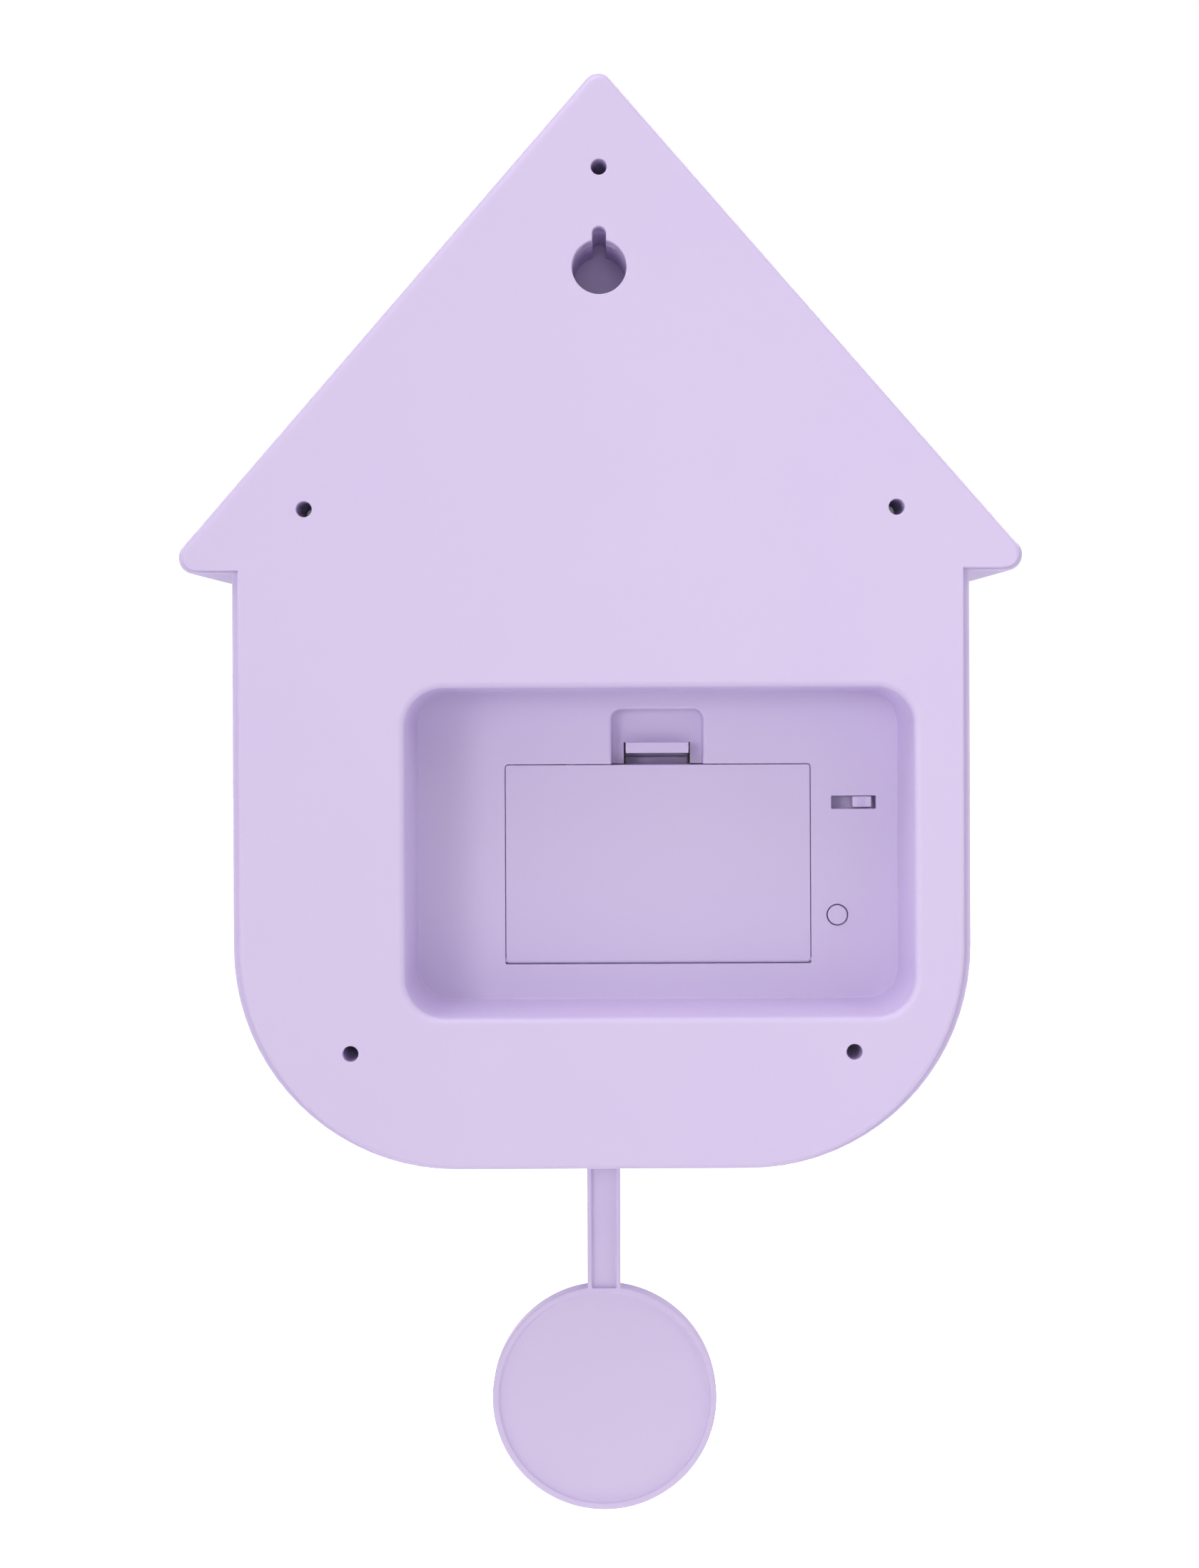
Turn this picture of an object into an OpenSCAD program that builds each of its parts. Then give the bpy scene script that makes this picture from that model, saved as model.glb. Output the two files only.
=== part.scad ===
// Wall cuckoo clock with a house-shaped case, a quartz dial, a sliding bird behind a
// hinged door, an electromagnetic pendulum and a battery pocket in its rear cover.
// Millimetres. +Z up, the front faces -Y and the rear face lies on y = 0, against the wall.
// The origin is the centre of the round keyhole hole in the rear face.

/* [Case] */
// Depth of the case from the wall to the front border
case_depth = 70; // [68:1:80]
// Height of the sharp gable point above the keyhole, on the rear cover
gable_z = 51.1; // [48:0.1:54]
// Half width of the gable for each millimetre below its point
gable_slope = 0.8696; // [0.85:0.001:0.89]
// Height of the eaves' underside on the rear cover
eave_z = -76.3; // [-80:0.1:-74]
// Half width of the body of the rear cover
body_half = 91.6; // [90:0.1:93]
// Height of the bottom of the rear cover
bottom_z = -227.7; // [-230:0.1:-226]
// Radius of the two bottom corners
bottom_r = 55.8; // [50:0.1:60]
// Rounding of the gable point and the eave tips
tip_r = 4.1; // [3:0.1:5]
// Wall thickness of the front shell
wall = 2.4; // [2:0.1:3]
// Width of the raised border round the front
border_w = 6.5; // [5:0.5:9]

/* [Rear cover] */
// Thickness of the rear cover
cover_t = 2.5; // [2:0.1:3]
// Radius of the round keyhole hole
keyhole_r = 6.9; // [6:0.1:7.5]
// Width of the keyhole slot
keyhole_slot_w = 3.5; // [3:0.1:4.5]
// Top of the keyhole slot above the hole's centre
keyhole_slot_top = 10.2; // [9:0.1:12]
// Depth of the keyhole well
keyhole_depth = 26; // [20:1:28]
// Radius of the five screw wells
well_r = 2.0; // [1.9:0.05:2.4]
// Depth of the five screw wells
well_depth = 22; // [18:1:24]

/* [Pocket] */
// Width of the pocket's floor
pocket_w = 126.2; // [122:0.1:128]
// Height of the pocket's floor
pocket_h = 80.7; // [78:0.1:82]
// Depth of the pocket
pocket_depth = 27; // [26:0.5:27]
// Corner radius of the pocket
pocket_r = 8.5; // [6:0.5:10]
// Flare of the pocket's mouth on each side
mouth = 3; // [2:0.1:3]
// Width of the battery cover's opening
bay_w = 80.6; // [80:0.1:81]
// Height of the battery cover's opening
bay_h = 52.7; // [52:0.1:53]
// Width of the latch's finger recess
recess_w = 24; // [22:0.5:26]

/* [Dial] */
// Height of the dial's centre
dial_z = -131; // [-132:0.5:-130]
// Radius of the dial well
dial_r = 54; // [52:0.5:54]
// Depth of the dial below the front border
dial_drop = 8; // [7.5:0.5:8.5]

/* [Pendulum] */
// Height of the pendulum's pivot
pivot_z = -202; // [-202.5:0.1:-201.5]
// Height of the disc's centre
disc_z = -293.8; // [-300:0.1:-290]
// Radius of the disc
disc_r = 29.6; // [27:0.1:32]
// Width of the rod
rod_w = 8.8; // [7:0.1:9]
// Depth of the pendulum's rear face behind the wall plane
pendulum_y = 28; // [27:0.5:29]

/* [Bird] */
// Half width of the door opening
door_half = 17.55; // [17:0.05:18]
// Height of the door sill
sill_z = -50; // [-51:0.5:-49]
// Height at which the door's arch starts
arch_z = -26; // [-28:0.5:-25]
// Teeth of the drive pinion
pinion_teeth = 12; // [12:1:12]
// Module of the rack and the drive pinion
rack_module = 0.8; // [0.8:0.1:0.8]

/* [Hidden] */

lilac = [0.80, 0.72, 0.87];
pale_lilac = [0.88, 0.83, 0.93];
white = [0.95, 0.95, 0.94];
steel = [0.75, 0.76, 0.78];
brass = [0.80, 0.66, 0.36];
copper = [0.78, 0.45, 0.25];
board_green = [0.12, 0.38, 0.22];
black = [0.08, 0.08, 0.09];
amber = [0.95, 0.66, 0.20];
corner_steps = 12;
fine = 64;
gap = 0.05;             // running clearance of a pin in its hole

// Depths, all negative: the y of each face
rear_split = -cover_t - 0.1;
front_y = -case_depth;
field_y = front_y + 1.5;        // front field inside the raised border
plate_t = 2.5;
inner_y = field_y + plate_t;    // inside face of the front field
dial_t = 1.5;
dial_y = front_y + dial_drop;   // front face of the dial
dial_back = dial_y + dial_t;
movement_t = 13.5;
movement_back = dial_back + movement_t;

// Outline of the front shell, a little larger than the rear cover
shell_step = 1.8;
base_step = 0.5;
roof_step = 0.3;

pocket_x = -14.7;
pocket_z = -147.9;
floor_y = -pocket_depth;
floor_t = 2.5;
floor_back = floor_y - floor_t;
bay_x = -14.7;
bay_z = -152.8;
bay_top = bay_z + bay_h / 2;
bay_bottom = bay_z - bay_h / 2;
recess_top = -112.1;
recess_back = floor_y - 5;
recess_gate_z = -120.85;        // top of the latch's gate in the finger recess's floor
recess_wall = 1.5;

screw_spots = [[0, 25.2], [-74.8, -60.9], [74.8, -60.9], [-63.6, -198.4], [63.6, -198.4]];
boss_r = 3.6;
well_wall = 2.0;
screw_head_r = 1.85;
screw_head_t = 1.5;
screw_shank_r = 1.0;
pilot_r = screw_shank_r + gap;

switch_x = -66.3;
switch_z = -136.75;
switch_w = 11.8;
switch_h = 3.5;
knob_x = -68.5;
knob_z = -136.6;
knob_w = 4.95;
knob_h = 2.8;
button_x = -61.9;
button_z = -166.4;
button_r = 2.54;
board_y = -34;                  // rear face of the control board
board_t = 1.6;
control_posts = [[-73.5, -152], [-59.5, -152]];
main_posts = [[-29, -67], [29, -67], [-29, -95], [29, -95]];
main_y = -30;

// Battery tray: a bay for three lying cells and a bay for one standing cell
tray_t = 1.5;
tray_y = -45.2;
lying_x = [-54.4, 6.4];
lying_z = [-178.6, -128.4];
standing_x = [8.6, 25.0];
standing_z = [-182, -124];
cell_r = 7.25;
cell_len = 50.5;
cell_y = -37.2;
row_pitch = 16.2;
row_mid = -153.5;
standing_mid = 16.8;
plate_contact_t = 0.5;

latch_w = 16.6;
latch_x = -14.6;
latch_t = 1.1;
latch_bend_y = -38;
latch_bend_z = -124.8;
latch_bend_r = 3.0;             // outer radius of the U bend
bar_z = [-123.6, -120.7];
cover_plate_t = 1.8;
hinge_r = cover_plate_t / 2;
cover_gap = 0.2;
cover_hinge_y = floor_y - hinge_r;
cover_hinge_z = bay_bottom + cover_gap + hinge_r;
hinge_stub = 0.8;
hinge_stub_r = 0.6;

door_t = 2.5;
door_axis = [-door_half + 1.55, field_y + door_t / 2];
door_clear = 0.35;
door_barrel_top = arch_z - 1;
door_pin_r = 0.6;

rack_pitch = PI * rack_module;
pinion_r = pinion_teeth * rack_module / 2;
rack_x = 9.2;                   // pitch line of the rack
pinion_pos = [rack_x + pinion_r, -55];
carriage_y = [-58, -22];
carriage_z = [-49.4, -46.9];
rail_post_x = 27;
rail_post_z = -57.5;
rail_y = [-64, -20];
motor_r = 8;
motor_z = [-72, -54];

// Wheel work of the movement: module and teeth of each pair share one centre distance
cannon_teeth = 12;
minute_teeth = 36;
motion_module = 0.5;
minute_pinion_teeth = 10;
hour_teeth = 40;
hour_module = 0.48;
motion_distance = (cannon_teeth + minute_teeth) * motion_module / 2;
centre_teeth = 75;
third_pinion_teeth = 10;
train_module = 0.4;
third_distance = (centre_teeth + third_pinion_teeth) * train_module / 2;
third_rim_teeth = 45;
third_angle = -45;
third_pos = third_distance * [cos(third_angle), sin(third_angle)];
stud_r = 0.8;

// ---- helpers ----------------------------------------------------------------------

// Extrudes an outline drawn in x and z from the rear depth y0 to the front depth y1
module slab(y0, y1) {
    translate([0, y0, 0]) rotate([90, 0, 0]) linear_extrude(y0 - y1) children();
}

module rod_y(r, y0, y1, x = 0, z = 0) {
    translate([x, y0, z]) rotate([90, 0, 0]) cylinder(h = y0 - y1, r = r, $fn = fine);
}

module rod_x(r, x0, x1, y = 0, z = 0) {
    translate([x0, y, z]) rotate([0, 90, 0]) cylinder(h = x1 - x0, r = r, $fn = fine);
}

module rod_z(r, z0, z1, x = 0, y = 0) {
    translate([x, y, z0]) cylinder(h = z1 - z0, r = r, $fn = fine);
}

// A box between two lists of limits on each axis
module block(x, y, z) {
    translate([min(x), min(y), min(z)])
        cube([max(x) - min(x), max(y) - min(y), max(z) - min(z)]);
}

// Limits of a span of a given half length round its middle
function around(middle, half) = [middle - half, middle + half];

function unit(v) = v / norm(v);

// Points of the arc that rounds corner p between its neighbours a and b
function arc_corner(a, p, b, r) =
    let (u = unit(a - p), v = unit(b - p), half = acos(u * v) / 2)
    let (c = p + unit(u + v) * r / sin(half), s = p + u * r / tan(half), e = p + v * r / tan(half))
    let (a0 = atan2(s[1] - c[1], s[0] - c[0]), a1 = atan2(e[1] - c[1], e[0] - c[0]))
    let (turn = (a1 - a0 + 540) % 360 - 180)
    r <= 0 ? [p] :
    [for (i = [0 : corner_steps])
        c + r * [cos(a0 + turn * i / corner_steps), sin(a0 + turn * i / corner_steps)]];

// Outline through corners given as [x, z, radius]
function rounded(corners) =
    let (n = len(corners))
    [for (i = [0 : n - 1])
        let (a = corners[(i + n - 1) % n], p = corners[i], b = corners[(i + 1) % n])
        each arc_corner([a[0], a[1]], [p[0], p[1]], [b[0], b[1]], p[2])];

// House outline: gable with eaves over a body with round bottom corners
module house(top, eave, half, bottom, corner) {
    eave_half = (top - eave) * gable_slope;
    polygon(rounded([
        [0, top, tip_r], [-eave_half, eave, tip_r], [-half, eave, 0], [-half, bottom, corner],
        [half, bottom, corner], [half, eave, 0], [eave_half, eave, tip_r]
    ]));
}

module cover_outline() {
    house(gable_z, eave_z, body_half, bottom_z, bottom_r);
}

module shell_outline() {
    house(gable_z + 1.5 * roof_step, eave_z - 0.7, body_half + shell_step,
          bottom_z - base_step, bottom_r + base_step);
}

module rounded_rect(w, h, r) {
    polygon(rounded([[-w / 2, -h / 2, r], [w / 2, -h / 2, r], [w / 2, h / 2, r], [-w / 2, h / 2, r]]));
}

module keyhole_outline() {
    slot_r = keyhole_slot_w / 2;
    circle(r = keyhole_r, $fn = fine);
    translate([-slot_r, 0]) square([keyhole_slot_w, keyhole_slot_top - slot_r]);
    translate([0, keyhole_slot_top - slot_r]) circle(r = slot_r, $fn = fine);
}

// Half the angle of an involute tooth at radius r
function involute(a) = tan(a) - a * PI / 180;
function tooth_half(teeth, pitch_r, r, thin) =
    let (base_r = pitch_r * cos(20))
    90 / teeth + (involute(20) - involute(acos(min(1, base_r / r)))) * 180 / PI
        - thin / pitch_r * 180 / PI;

// Gear outline with a tooth centred on the x axis; each flank runs from root to tip
module gear_outline(teeth, module_size, thin = 0.05, flank_steps = 2) {
    pitch_r = teeth * module_size / 2;
    tip_rad = pitch_r + module_size * 0.95;
    root_rad = pitch_r - module_size * 1.2;
    low = max(root_rad, pitch_r * cos(20));
    radii = [for (k = [0 : flank_steps]) low + (tip_rad - low) * k / flank_steps];
    polygon([for (t = [0 : teeth - 1])
        let (mid = t * 360 / teeth)
        each concat(
            [root_rad * [cos(mid - tooth_half(teeth, pitch_r, low, thin)),
                         sin(mid - tooth_half(teeth, pitch_r, low, thin))]],
            [for (r = radii) let (a = mid - tooth_half(teeth, pitch_r, r, thin)) r * [cos(a), sin(a)]],
            [for (k = [flank_steps : -1 : 0])
                let (r = radii[k], a = mid + tooth_half(teeth, pitch_r, r, thin)) r * [cos(a), sin(a)]],
            [root_rad * [cos(mid + tooth_half(teeth, pitch_r, low, thin)),
                         sin(mid + tooth_half(teeth, pitch_r, low, thin))]])
    ]);
}

// A pan-head screw along Y: the head's outer face at y0, the shank towards -Y
module screw_y(x, z, y0, head_r, head_t, shank_r, length) {
    difference() {
        rod_y(head_r, y0, y0 - head_t, x, z);
        for (turn = [0, 90])
            translate([x, y0, z]) rotate([0, turn, 0])
                cube([head_r * 1.3, head_t, head_r * 0.25], center = true);
    }
    rod_y(shank_r, y0 - head_t, y0 - length, x, z);
}

// Cross-section ring of a tube at point p, square to direction d and turned to face axis
function tube_ring(p, d, r, sides, axis) =
    let (side = unit(cross(d, axis)), up = cross(side, d))
    [for (k = [0 : sides - 1]) p + r * (cos(360 * k / sides) * side + sin(360 * k / sides) * up)];

// A closed tube swept through points, mitred at its bends; axis is never along the tube
module tube(points, r, sides = 6, axis = [0.3, 0.8, 0.5]) {
    last = len(points) - 1;
    rings = [for (i = [0 : last])
        tube_ring(points[i], unit(unit(points[min(i + 1, last)] - points[max(i, 1) - 1]) +
                                  unit(points[min(i, last - 1) + 1] - points[max(i - 1, 0)])), r, sides, axis)];
    polyhedron(
        points = [for (ring = rings) each ring],
        faces = concat(
            [[for (k = [0 : sides - 1]) k]],
            [for (i = [0 : last - 1], k = [0 : sides - 1])
                let (a = i * sides + k, b = i * sides + (k + 1) % sides)
                each [[a, a + sides, b + sides], [a, b + sides, b]]],
            [[for (k = [sides - 1 : -1 : 0]) last * sides + k]]));
}

// ---- case -------------------------------------------------------------------------

module door_opening() {
    translate([0, arch_z]) circle(r = door_half, $fn = fine);
    translate([-door_half, sill_z]) square([2 * door_half, arch_z - sill_z]);
}

module front_shell() color(lilac) {
    bezel_r = dial_r + 2.5;
    difference() {
        union() {
            difference() {
                union() {
                    slab(rear_split, field_y) shell_outline();
                    slab(field_y, front_y) difference() {
                        shell_outline();
                        offset(delta = -border_w) shell_outline();
                    }
                }
                slab(rear_split + 1, inner_y) offset(delta = -wall) shell_outline();
            }
            // wall of the dial well
            rod_y(bezel_r, dial_y, inner_y - 0.5, 0, dial_z);
            // screw bosses for the rear cover
            for (s = screw_spots) rod_y(boss_r, -well_depth - 2.6, inner_y - 0.5, s[0], s[1]);
            // posts for the dial plate and the guide rail
            for (a = [90, 210, 330])
                rod_y(3, dial_y, inner_y - 0.5, (bezel_r + 4) * cos(a), dial_z + (bezel_r + 4) * sin(a));
            for (side = [-1, 1])
                rod_y(3, rail_y[0] + 4, inner_y - 0.5, side * rail_post_x, rail_post_z);
            // ring that centres the speaker
            slab(inner_y + 3, inner_y - 0.5) difference() {
                translate([0, speaker_z]) circle(r = speaker_r + 1.8, $fn = fine);
                translate([0, speaker_z]) circle(r = speaker_r + 0.2, $fn = fine);
            }
        }
        rod_y(dial_r, 0, front_y - 1, 0, dial_z);
        slab(0, front_y - 1) door_opening();
        for (s = screw_spots) rod_y(pilot_r, 0, -50, s[0], s[1]);
        for (a = [90, 210, 330])
            rod_y(pilot_r, 0, inner_y + 0.5, (bezel_r + 4) * cos(a), dial_z + (bezel_r + 4) * sin(a));
        for (side = [-1, 1]) rod_y(pilot_r, 0, inner_y + 0.5, side * rail_post_x, rail_post_z);
        // pendulum slot in the bottom
        block([-11, 11], [-pendulum_y - 9, -pendulum_y + 4], [bottom_z - 10, bottom_z + 10]);
        // sound holes
        for (ring = [0 : 2], i = [0 : max(0, ring * 6 - 1)])
            rod_y(0.9, 0, front_y - 1, ring * 4.2 * cos(i * 60 / max(1, ring)),
                  speaker_z + ring * 4.2 * sin(i * 60 / max(1, ring)));
        rod_y(sensor_r + gap, 0, front_y - 1, 0, sensor_z);
        // seat of the door's hinge pin above and below the opening
        rod_z(door_pin_r + 0.02, sill_z - 3, arch_z + 11, door_axis[0], door_axis[1]);
    }
}

module keyhole_well() {
    outer = keyhole_r + 1.8;
    slab(-cover_t + 0.5, -keyhole_depth - 1.5) {
        circle(r = outer, $fn = fine);
        translate([-6, 0]) square([12, keyhole_slot_top + 4]);
    }
}

module rear_cover() color(lilac) {
    inner = [pocket_w, pocket_h];
    difference() {
        union() {
            slab(0, -cover_t) cover_outline();
            // locating rim inside the front shell
            slab(-cover_t + 0.5, -7) difference() {
                offset(delta = -wall - 0.25) shell_outline();
                offset(delta = -wall - 1.75) shell_outline();
            }
            slab(-cover_t + 0.5, floor_back) translate([pocket_x, pocket_z])
                rounded_rect(inner[0] + 2 * mouth + 2, inner[1] + 2 * mouth + 2, pocket_r + mouth);
            keyhole_well();
            for (s = screw_spots)
                rod_y(well_r + well_wall, -cover_t + 0.5, -well_depth - 2.5, s[0], s[1]);
            // finger recess of the latch
            block([latch_x - recess_w / 2 - recess_wall, latch_x + recess_w / 2 + recess_wall],
                  [floor_back + 1, recess_back - recess_wall], [bay_top, recess_top + recess_wall]);
            for (p = control_posts) rod_y(1.8, floor_back + 1, board_y, p[0], p[1]);
            for (p = main_posts) rod_y(2.5, -cover_t + 0.5, main_y, p[0], p[1]);
            // posts behind the pendulum bracket
            for (side = [-1, 1])
                rod_y(3, -cover_t + 0.5, bracket_y[0], side * (bracket_half - 4), bracket_z[0] + 6);
        }
        // pocket with a flared mouth
        slab(1, floor_y) translate([pocket_x, pocket_z]) rounded_rect(inner[0], inner[1], pocket_r);
        translate([pocket_x, 0, pocket_z]) hull() {
            slab(0.01, 0) rounded_rect(inner[0] + 2 * mouth, inner[1] + 2 * mouth, pocket_r + mouth);
            slab(-mouth, -mouth - 0.01) rounded_rect(inner[0], inner[1], pocket_r);
        }
        // keyhole with an undercut for the head of the wall screw
        slab(1, -keyhole_depth) keyhole_outline();
        slab(-3, -7.5) {
            translate([-4, 0]) square([8, keyhole_slot_top - 1.75]);
            translate([0, keyhole_slot_top - 1.75]) circle(r = 4, $fn = fine);
        }
        for (s = screw_spots) {
            rod_y(well_r, 1, -well_depth - 1, s[0], s[1]);
            rod_y(screw_shank_r + 0.2, 0, -well_depth - 3, s[0], s[1]);
        }
        // battery opening, finger recess, switch slot and button hole
        block(around(bay_x, bay_w / 2), [floor_y + 1, floor_back - 1],
              [bay_bottom, bay_top]);
        block(around(latch_x, recess_w / 2), [floor_y + 1, recess_back],
              [bay_top - 1, recess_top]);
        block(around(latch_x, latch_w / 2 + 0.5), [floor_y + 1, recess_back - 3],
              [bay_top - 1, recess_gate_z]);
        block(around(switch_x, switch_w / 2), [floor_y + 1, floor_back - 1],
              around(switch_z, switch_h / 2));
        rod_y(button_r + 0.3, floor_y + 1, floor_back - 1, button_x, button_z);
        // seats of the battery cover's hinge stubs
        rod_x(hinge_stub_r + gap, bay_x - bay_w / 2 - hinge_stub - 0.2, bay_x + bay_w / 2 + hinge_stub + 0.2,
              cover_hinge_y, cover_hinge_z);
        for (p = control_posts) rod_y(pilot_r - 0.3, floor_back - 0.8, board_y - 1, p[0], p[1]);
        for (p = main_posts) rod_y(pilot_r, -12, main_y - 1, p[0], p[1]);
    }
}

module case_screws() color(steel) {
    for (s = screw_spots)
        screw_y(s[0], s[1], -well_depth - 1 + screw_head_t, screw_head_r, screw_head_t, screw_shank_r, 15);
}

// ---- dial and hands ---------------------------------------------------------------

bezel_lip = 1.5;
marker_r = [46, 51];
arbor_r = 1.5;
pipe_r = 2.6;
collar_r = 4;

module dial_bezel() color(pale_lilac)
    translate([0, field_y, dial_z]) rotate([90, 0, 0]) rotate_extrude($fn = 96)
        polygon([[dial_r - 1.2, 0], [dial_r + 3, 0], [dial_r + 3, 0.8], [dial_r + 2.2, bezel_lip],
                 [dial_r, bezel_lip], [dial_r - 1.2, 1]]);

module dial_plate() color(pale_lilac)
    difference() {
        union() {
            rod_y(dial_r + 2.5, dial_back, dial_y, 0, dial_z);
            for (a = [90, 210, 330])
                slab(dial_back, dial_y) translate([0, dial_z]) rotate(a)
                    translate([dial_r, -4]) square([9.5, 8]);
        }
        rod_y(collar_r + gap, 0, front_y, 0, dial_z);
        for (a = [90, 210, 330])
            rod_y(pilot_r + 0.2, 0, front_y, (dial_r + 6.5) * cos(a), dial_z + (dial_r + 6.5) * sin(a));
    }

module hour_markers() color(white)
    for (h = [0 : 11]) {
        w = h % 3 == 0 ? 3.2 : 2;
        slab(dial_y, dial_y - 0.8) translate([0, dial_z]) rotate(h * 30)
            translate([marker_r[0], -w / 2]) square([marker_r[1] - marker_r[0], w]);
    }

module dial_screws() color(steel)
    for (a = [90, 210, 330])
        screw_y((dial_r + 6.5) * cos(a), dial_z + (dial_r + 6.5) * sin(a), dial_back + 1.2, 2, 1.2,
                screw_shank_r, 5);

module hand_outline(length, tail, width, hub) {
    circle(r = hub, $fn = fine);
    polygon([[-width / 2, -tail], [width / 2, -tail], [width / 2, length - width / 2],
             [0, length], [-width / 2, length - width / 2]]);
}

// The hands rest at ten past ten on the dial
hour_at = -60 + 5;
minute_at = 60;

module hour_hand() color(white)
    difference() {
        slab(dial_y - 3.4, dial_y - 4.4) translate([0, dial_z]) rotate(-hour_at)
            hand_outline(29, 7, 4.4, 4.6);
        rod_y(pipe_r, 0, front_y - 2, 0, dial_z);
    }

module minute_hand() color(white)
    difference() {
        slab(dial_y - 5.4, dial_y - 6.4) translate([0, dial_z]) rotate(-minute_at)
            hand_outline(42, 9, 3.4, 3.8);
        rod_y(arbor_r, 0, front_y - 2, 0, dial_z);
    }

module hand_cap() color(white)
    difference() {
        rod_y(2.6, dial_y - 6.4, dial_y - 7.8, 0, dial_z);
        rod_y(arbor_r, 0, dial_y - 7.1, 0, dial_z);
    }

// ---- movement ---------------------------------------------------------------------

movement_half = 28;
shell_t = 1.2;
lid_y = movement_back - shell_t;
base_inner = dial_back + shell_t;
hour_y = [dial_back + 4.2, dial_back + 2.4];
motion_y = [dial_back + 6.4, dial_back + 4.8];
train_y = [dial_back + 9.4, dial_back + 8.0];
third_y = [dial_back + 7.6, dial_back + 6.9];

module movement_base() color(white) {
    difference() {
        union() {
            block(around(0, movement_half), [dial_back, lid_y - 1],
                  around(dial_z, movement_half));
            rod_y(collar_r, dial_back, dial_y - 2.8, 0, dial_z);
        }
        block([-movement_half + shell_t, movement_half - shell_t], [base_inner, 0],
              [dial_z - movement_half + shell_t, dial_z + movement_half - shell_t]);
        rod_y(pipe_r + gap, 0, front_y - 2, 0, dial_z);
    }
    // fixed studs for the minute wheel and the third wheel
    rod_y(stud_r, motion_y[0] + 0.4, base_inner - 0.5, -motion_distance, dial_z);
    rod_y(stud_r, train_y[0] + 0.6, base_inner - 0.5, third_pos[0], dial_z + third_pos[1]);
}

module movement_lid() color(white)
    union() {
        block(around(0, movement_half), [lid_y, movement_back],
              around(dial_z, movement_half));
        block(around(0, movement_half), [lid_y, lid_y - 1],
              around(dial_z, movement_half));
    }

module movement_nut() color(brass)
    difference() {
        slab(dial_y, dial_y - 1.8) translate([0, dial_z]) circle(r = 6.6, $fn = 6);
        rod_y(collar_r + 0.02, 0, front_y, 0, dial_z);
    }

// Wheels are drawn round the dial's centre; phase turns the teeth into mesh
module wheel(teeth, module_size, y, x, z, phase = 0, bore = 0, thin = 0.06, flank_steps = 1) {
    slab(y[0], y[1]) difference() {
        translate([x, dial_z + z]) rotate(phase) gear_outline(teeth, module_size, thin, flank_steps);
        if (bore > 0) translate([x, dial_z + z]) circle(r = bore, $fn = fine);
    }
}

module centre_wheel() color(brass) {
    rod_y(arbor_r, train_y[0] + 0.8, dial_y - 7.1, 0, dial_z);
    wheel(centre_teeth, train_module, train_y, 0, 0);
    wheel(cannon_teeth, motion_module, motion_y, 0, 0, 180, 0, 0.05, 2);
}

module minute_wheel() color(brass) {
    // the first tooth gap of the wheel faces the cannon pinion's tooth
    wheel(minute_teeth, motion_module, motion_y, -motion_distance, 0, 180 / minute_teeth,
          stud_r + gap, 0.06);
    wheel(minute_pinion_teeth, hour_module, [motion_y[1] + 0.01, hour_y[1]], -motion_distance, 0, 0,
          stud_r + gap, 0.05, 2);
}

module hour_wheel() color(brass)
    difference() {
        union() {
            wheel(hour_teeth, hour_module, hour_y, 0, 0, 180 + 180 / hour_teeth);
            rod_y(pipe_r, hour_y[0], dial_y - 4.4, 0, dial_z);
        }
        rod_y(arbor_r + gap, 0, front_y - 2, 0, dial_z);
    }

module third_wheel() color(brass) {
    x = third_pos[0];
    z = third_pos[1];
    // the pinion's gap faces the centre wheel
    wheel(third_pinion_teeth, train_module, [train_y[0], third_y[1]], x, z,
          third_angle + third_mesh, stud_r + gap, 0.05, 2);
    wheel(third_rim_teeth, train_module, third_y, x, z, 0, stud_r + gap, 0.06);
}

// Phase of the third pinion: the centre wheel has a tooth at each multiple of its pitch angle
centre_pitch = 360 / centre_teeth;
third_offset = (third_angle / centre_pitch - round(third_angle / centre_pitch)) * centre_pitch;
third_mesh = 180 + 180 / third_pinion_teeth + third_offset * centre_teeth / third_pinion_teeth;

rotor_pos = [14, 15];
stator_y = [dial_back + 6.0, dial_back + 5.0];

module motor_stator() color(steel)
    slab(stator_y[0], stator_y[1]) difference() {
        translate([0, dial_z]) union() {
            translate([-22, 10]) square([44, 3.5]);
            translate([-22, 22]) square([44, 3]);
            translate([rotor_pos[0] - 5.5, 10]) square([11, 15]);
            translate([-22, 10]) square([4, 15]);
        }
        translate([rotor_pos[0], dial_z + rotor_pos[1]]) circle(r = 3.2, $fn = fine);
    }

module motor_rotor() color(black) {
    rod_y(2.8, stator_y[0] + 0.6, stator_y[1] - 0.6, rotor_pos[0], dial_z + rotor_pos[1]);
    rod_y(0.5, stator_y[0] + 2.5, base_inner, rotor_pos[0], dial_z + rotor_pos[1]);
}

// Coil wound round the stator's upper leg
module motor_coil() color(copper)
    difference() {
        rod_x(3, -15, 3, (stator_y[0] + stator_y[1]) / 2, dial_z + 23.5);
        block([-16, 4], [stator_y[0] + gap, stator_y[1] - gap],
              [dial_z + 22 - gap, dial_z + 25 + gap]);
    }

module movement_board() color(board_green) {
    block([-24, -2], [dial_back + 9.4, dial_back + 8.4], [dial_z - 25, dial_z - 17]);
    rod_x(1.5, -22, -14, dial_back + 7.4 - 0.5, dial_z - 21);
}

// ---- bird, door and their drive ----------------------------------------------------

bird_z = -34;
bird_y = -43;
head_pos = [0, -51, -24.5];
head_r = 7;

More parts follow.
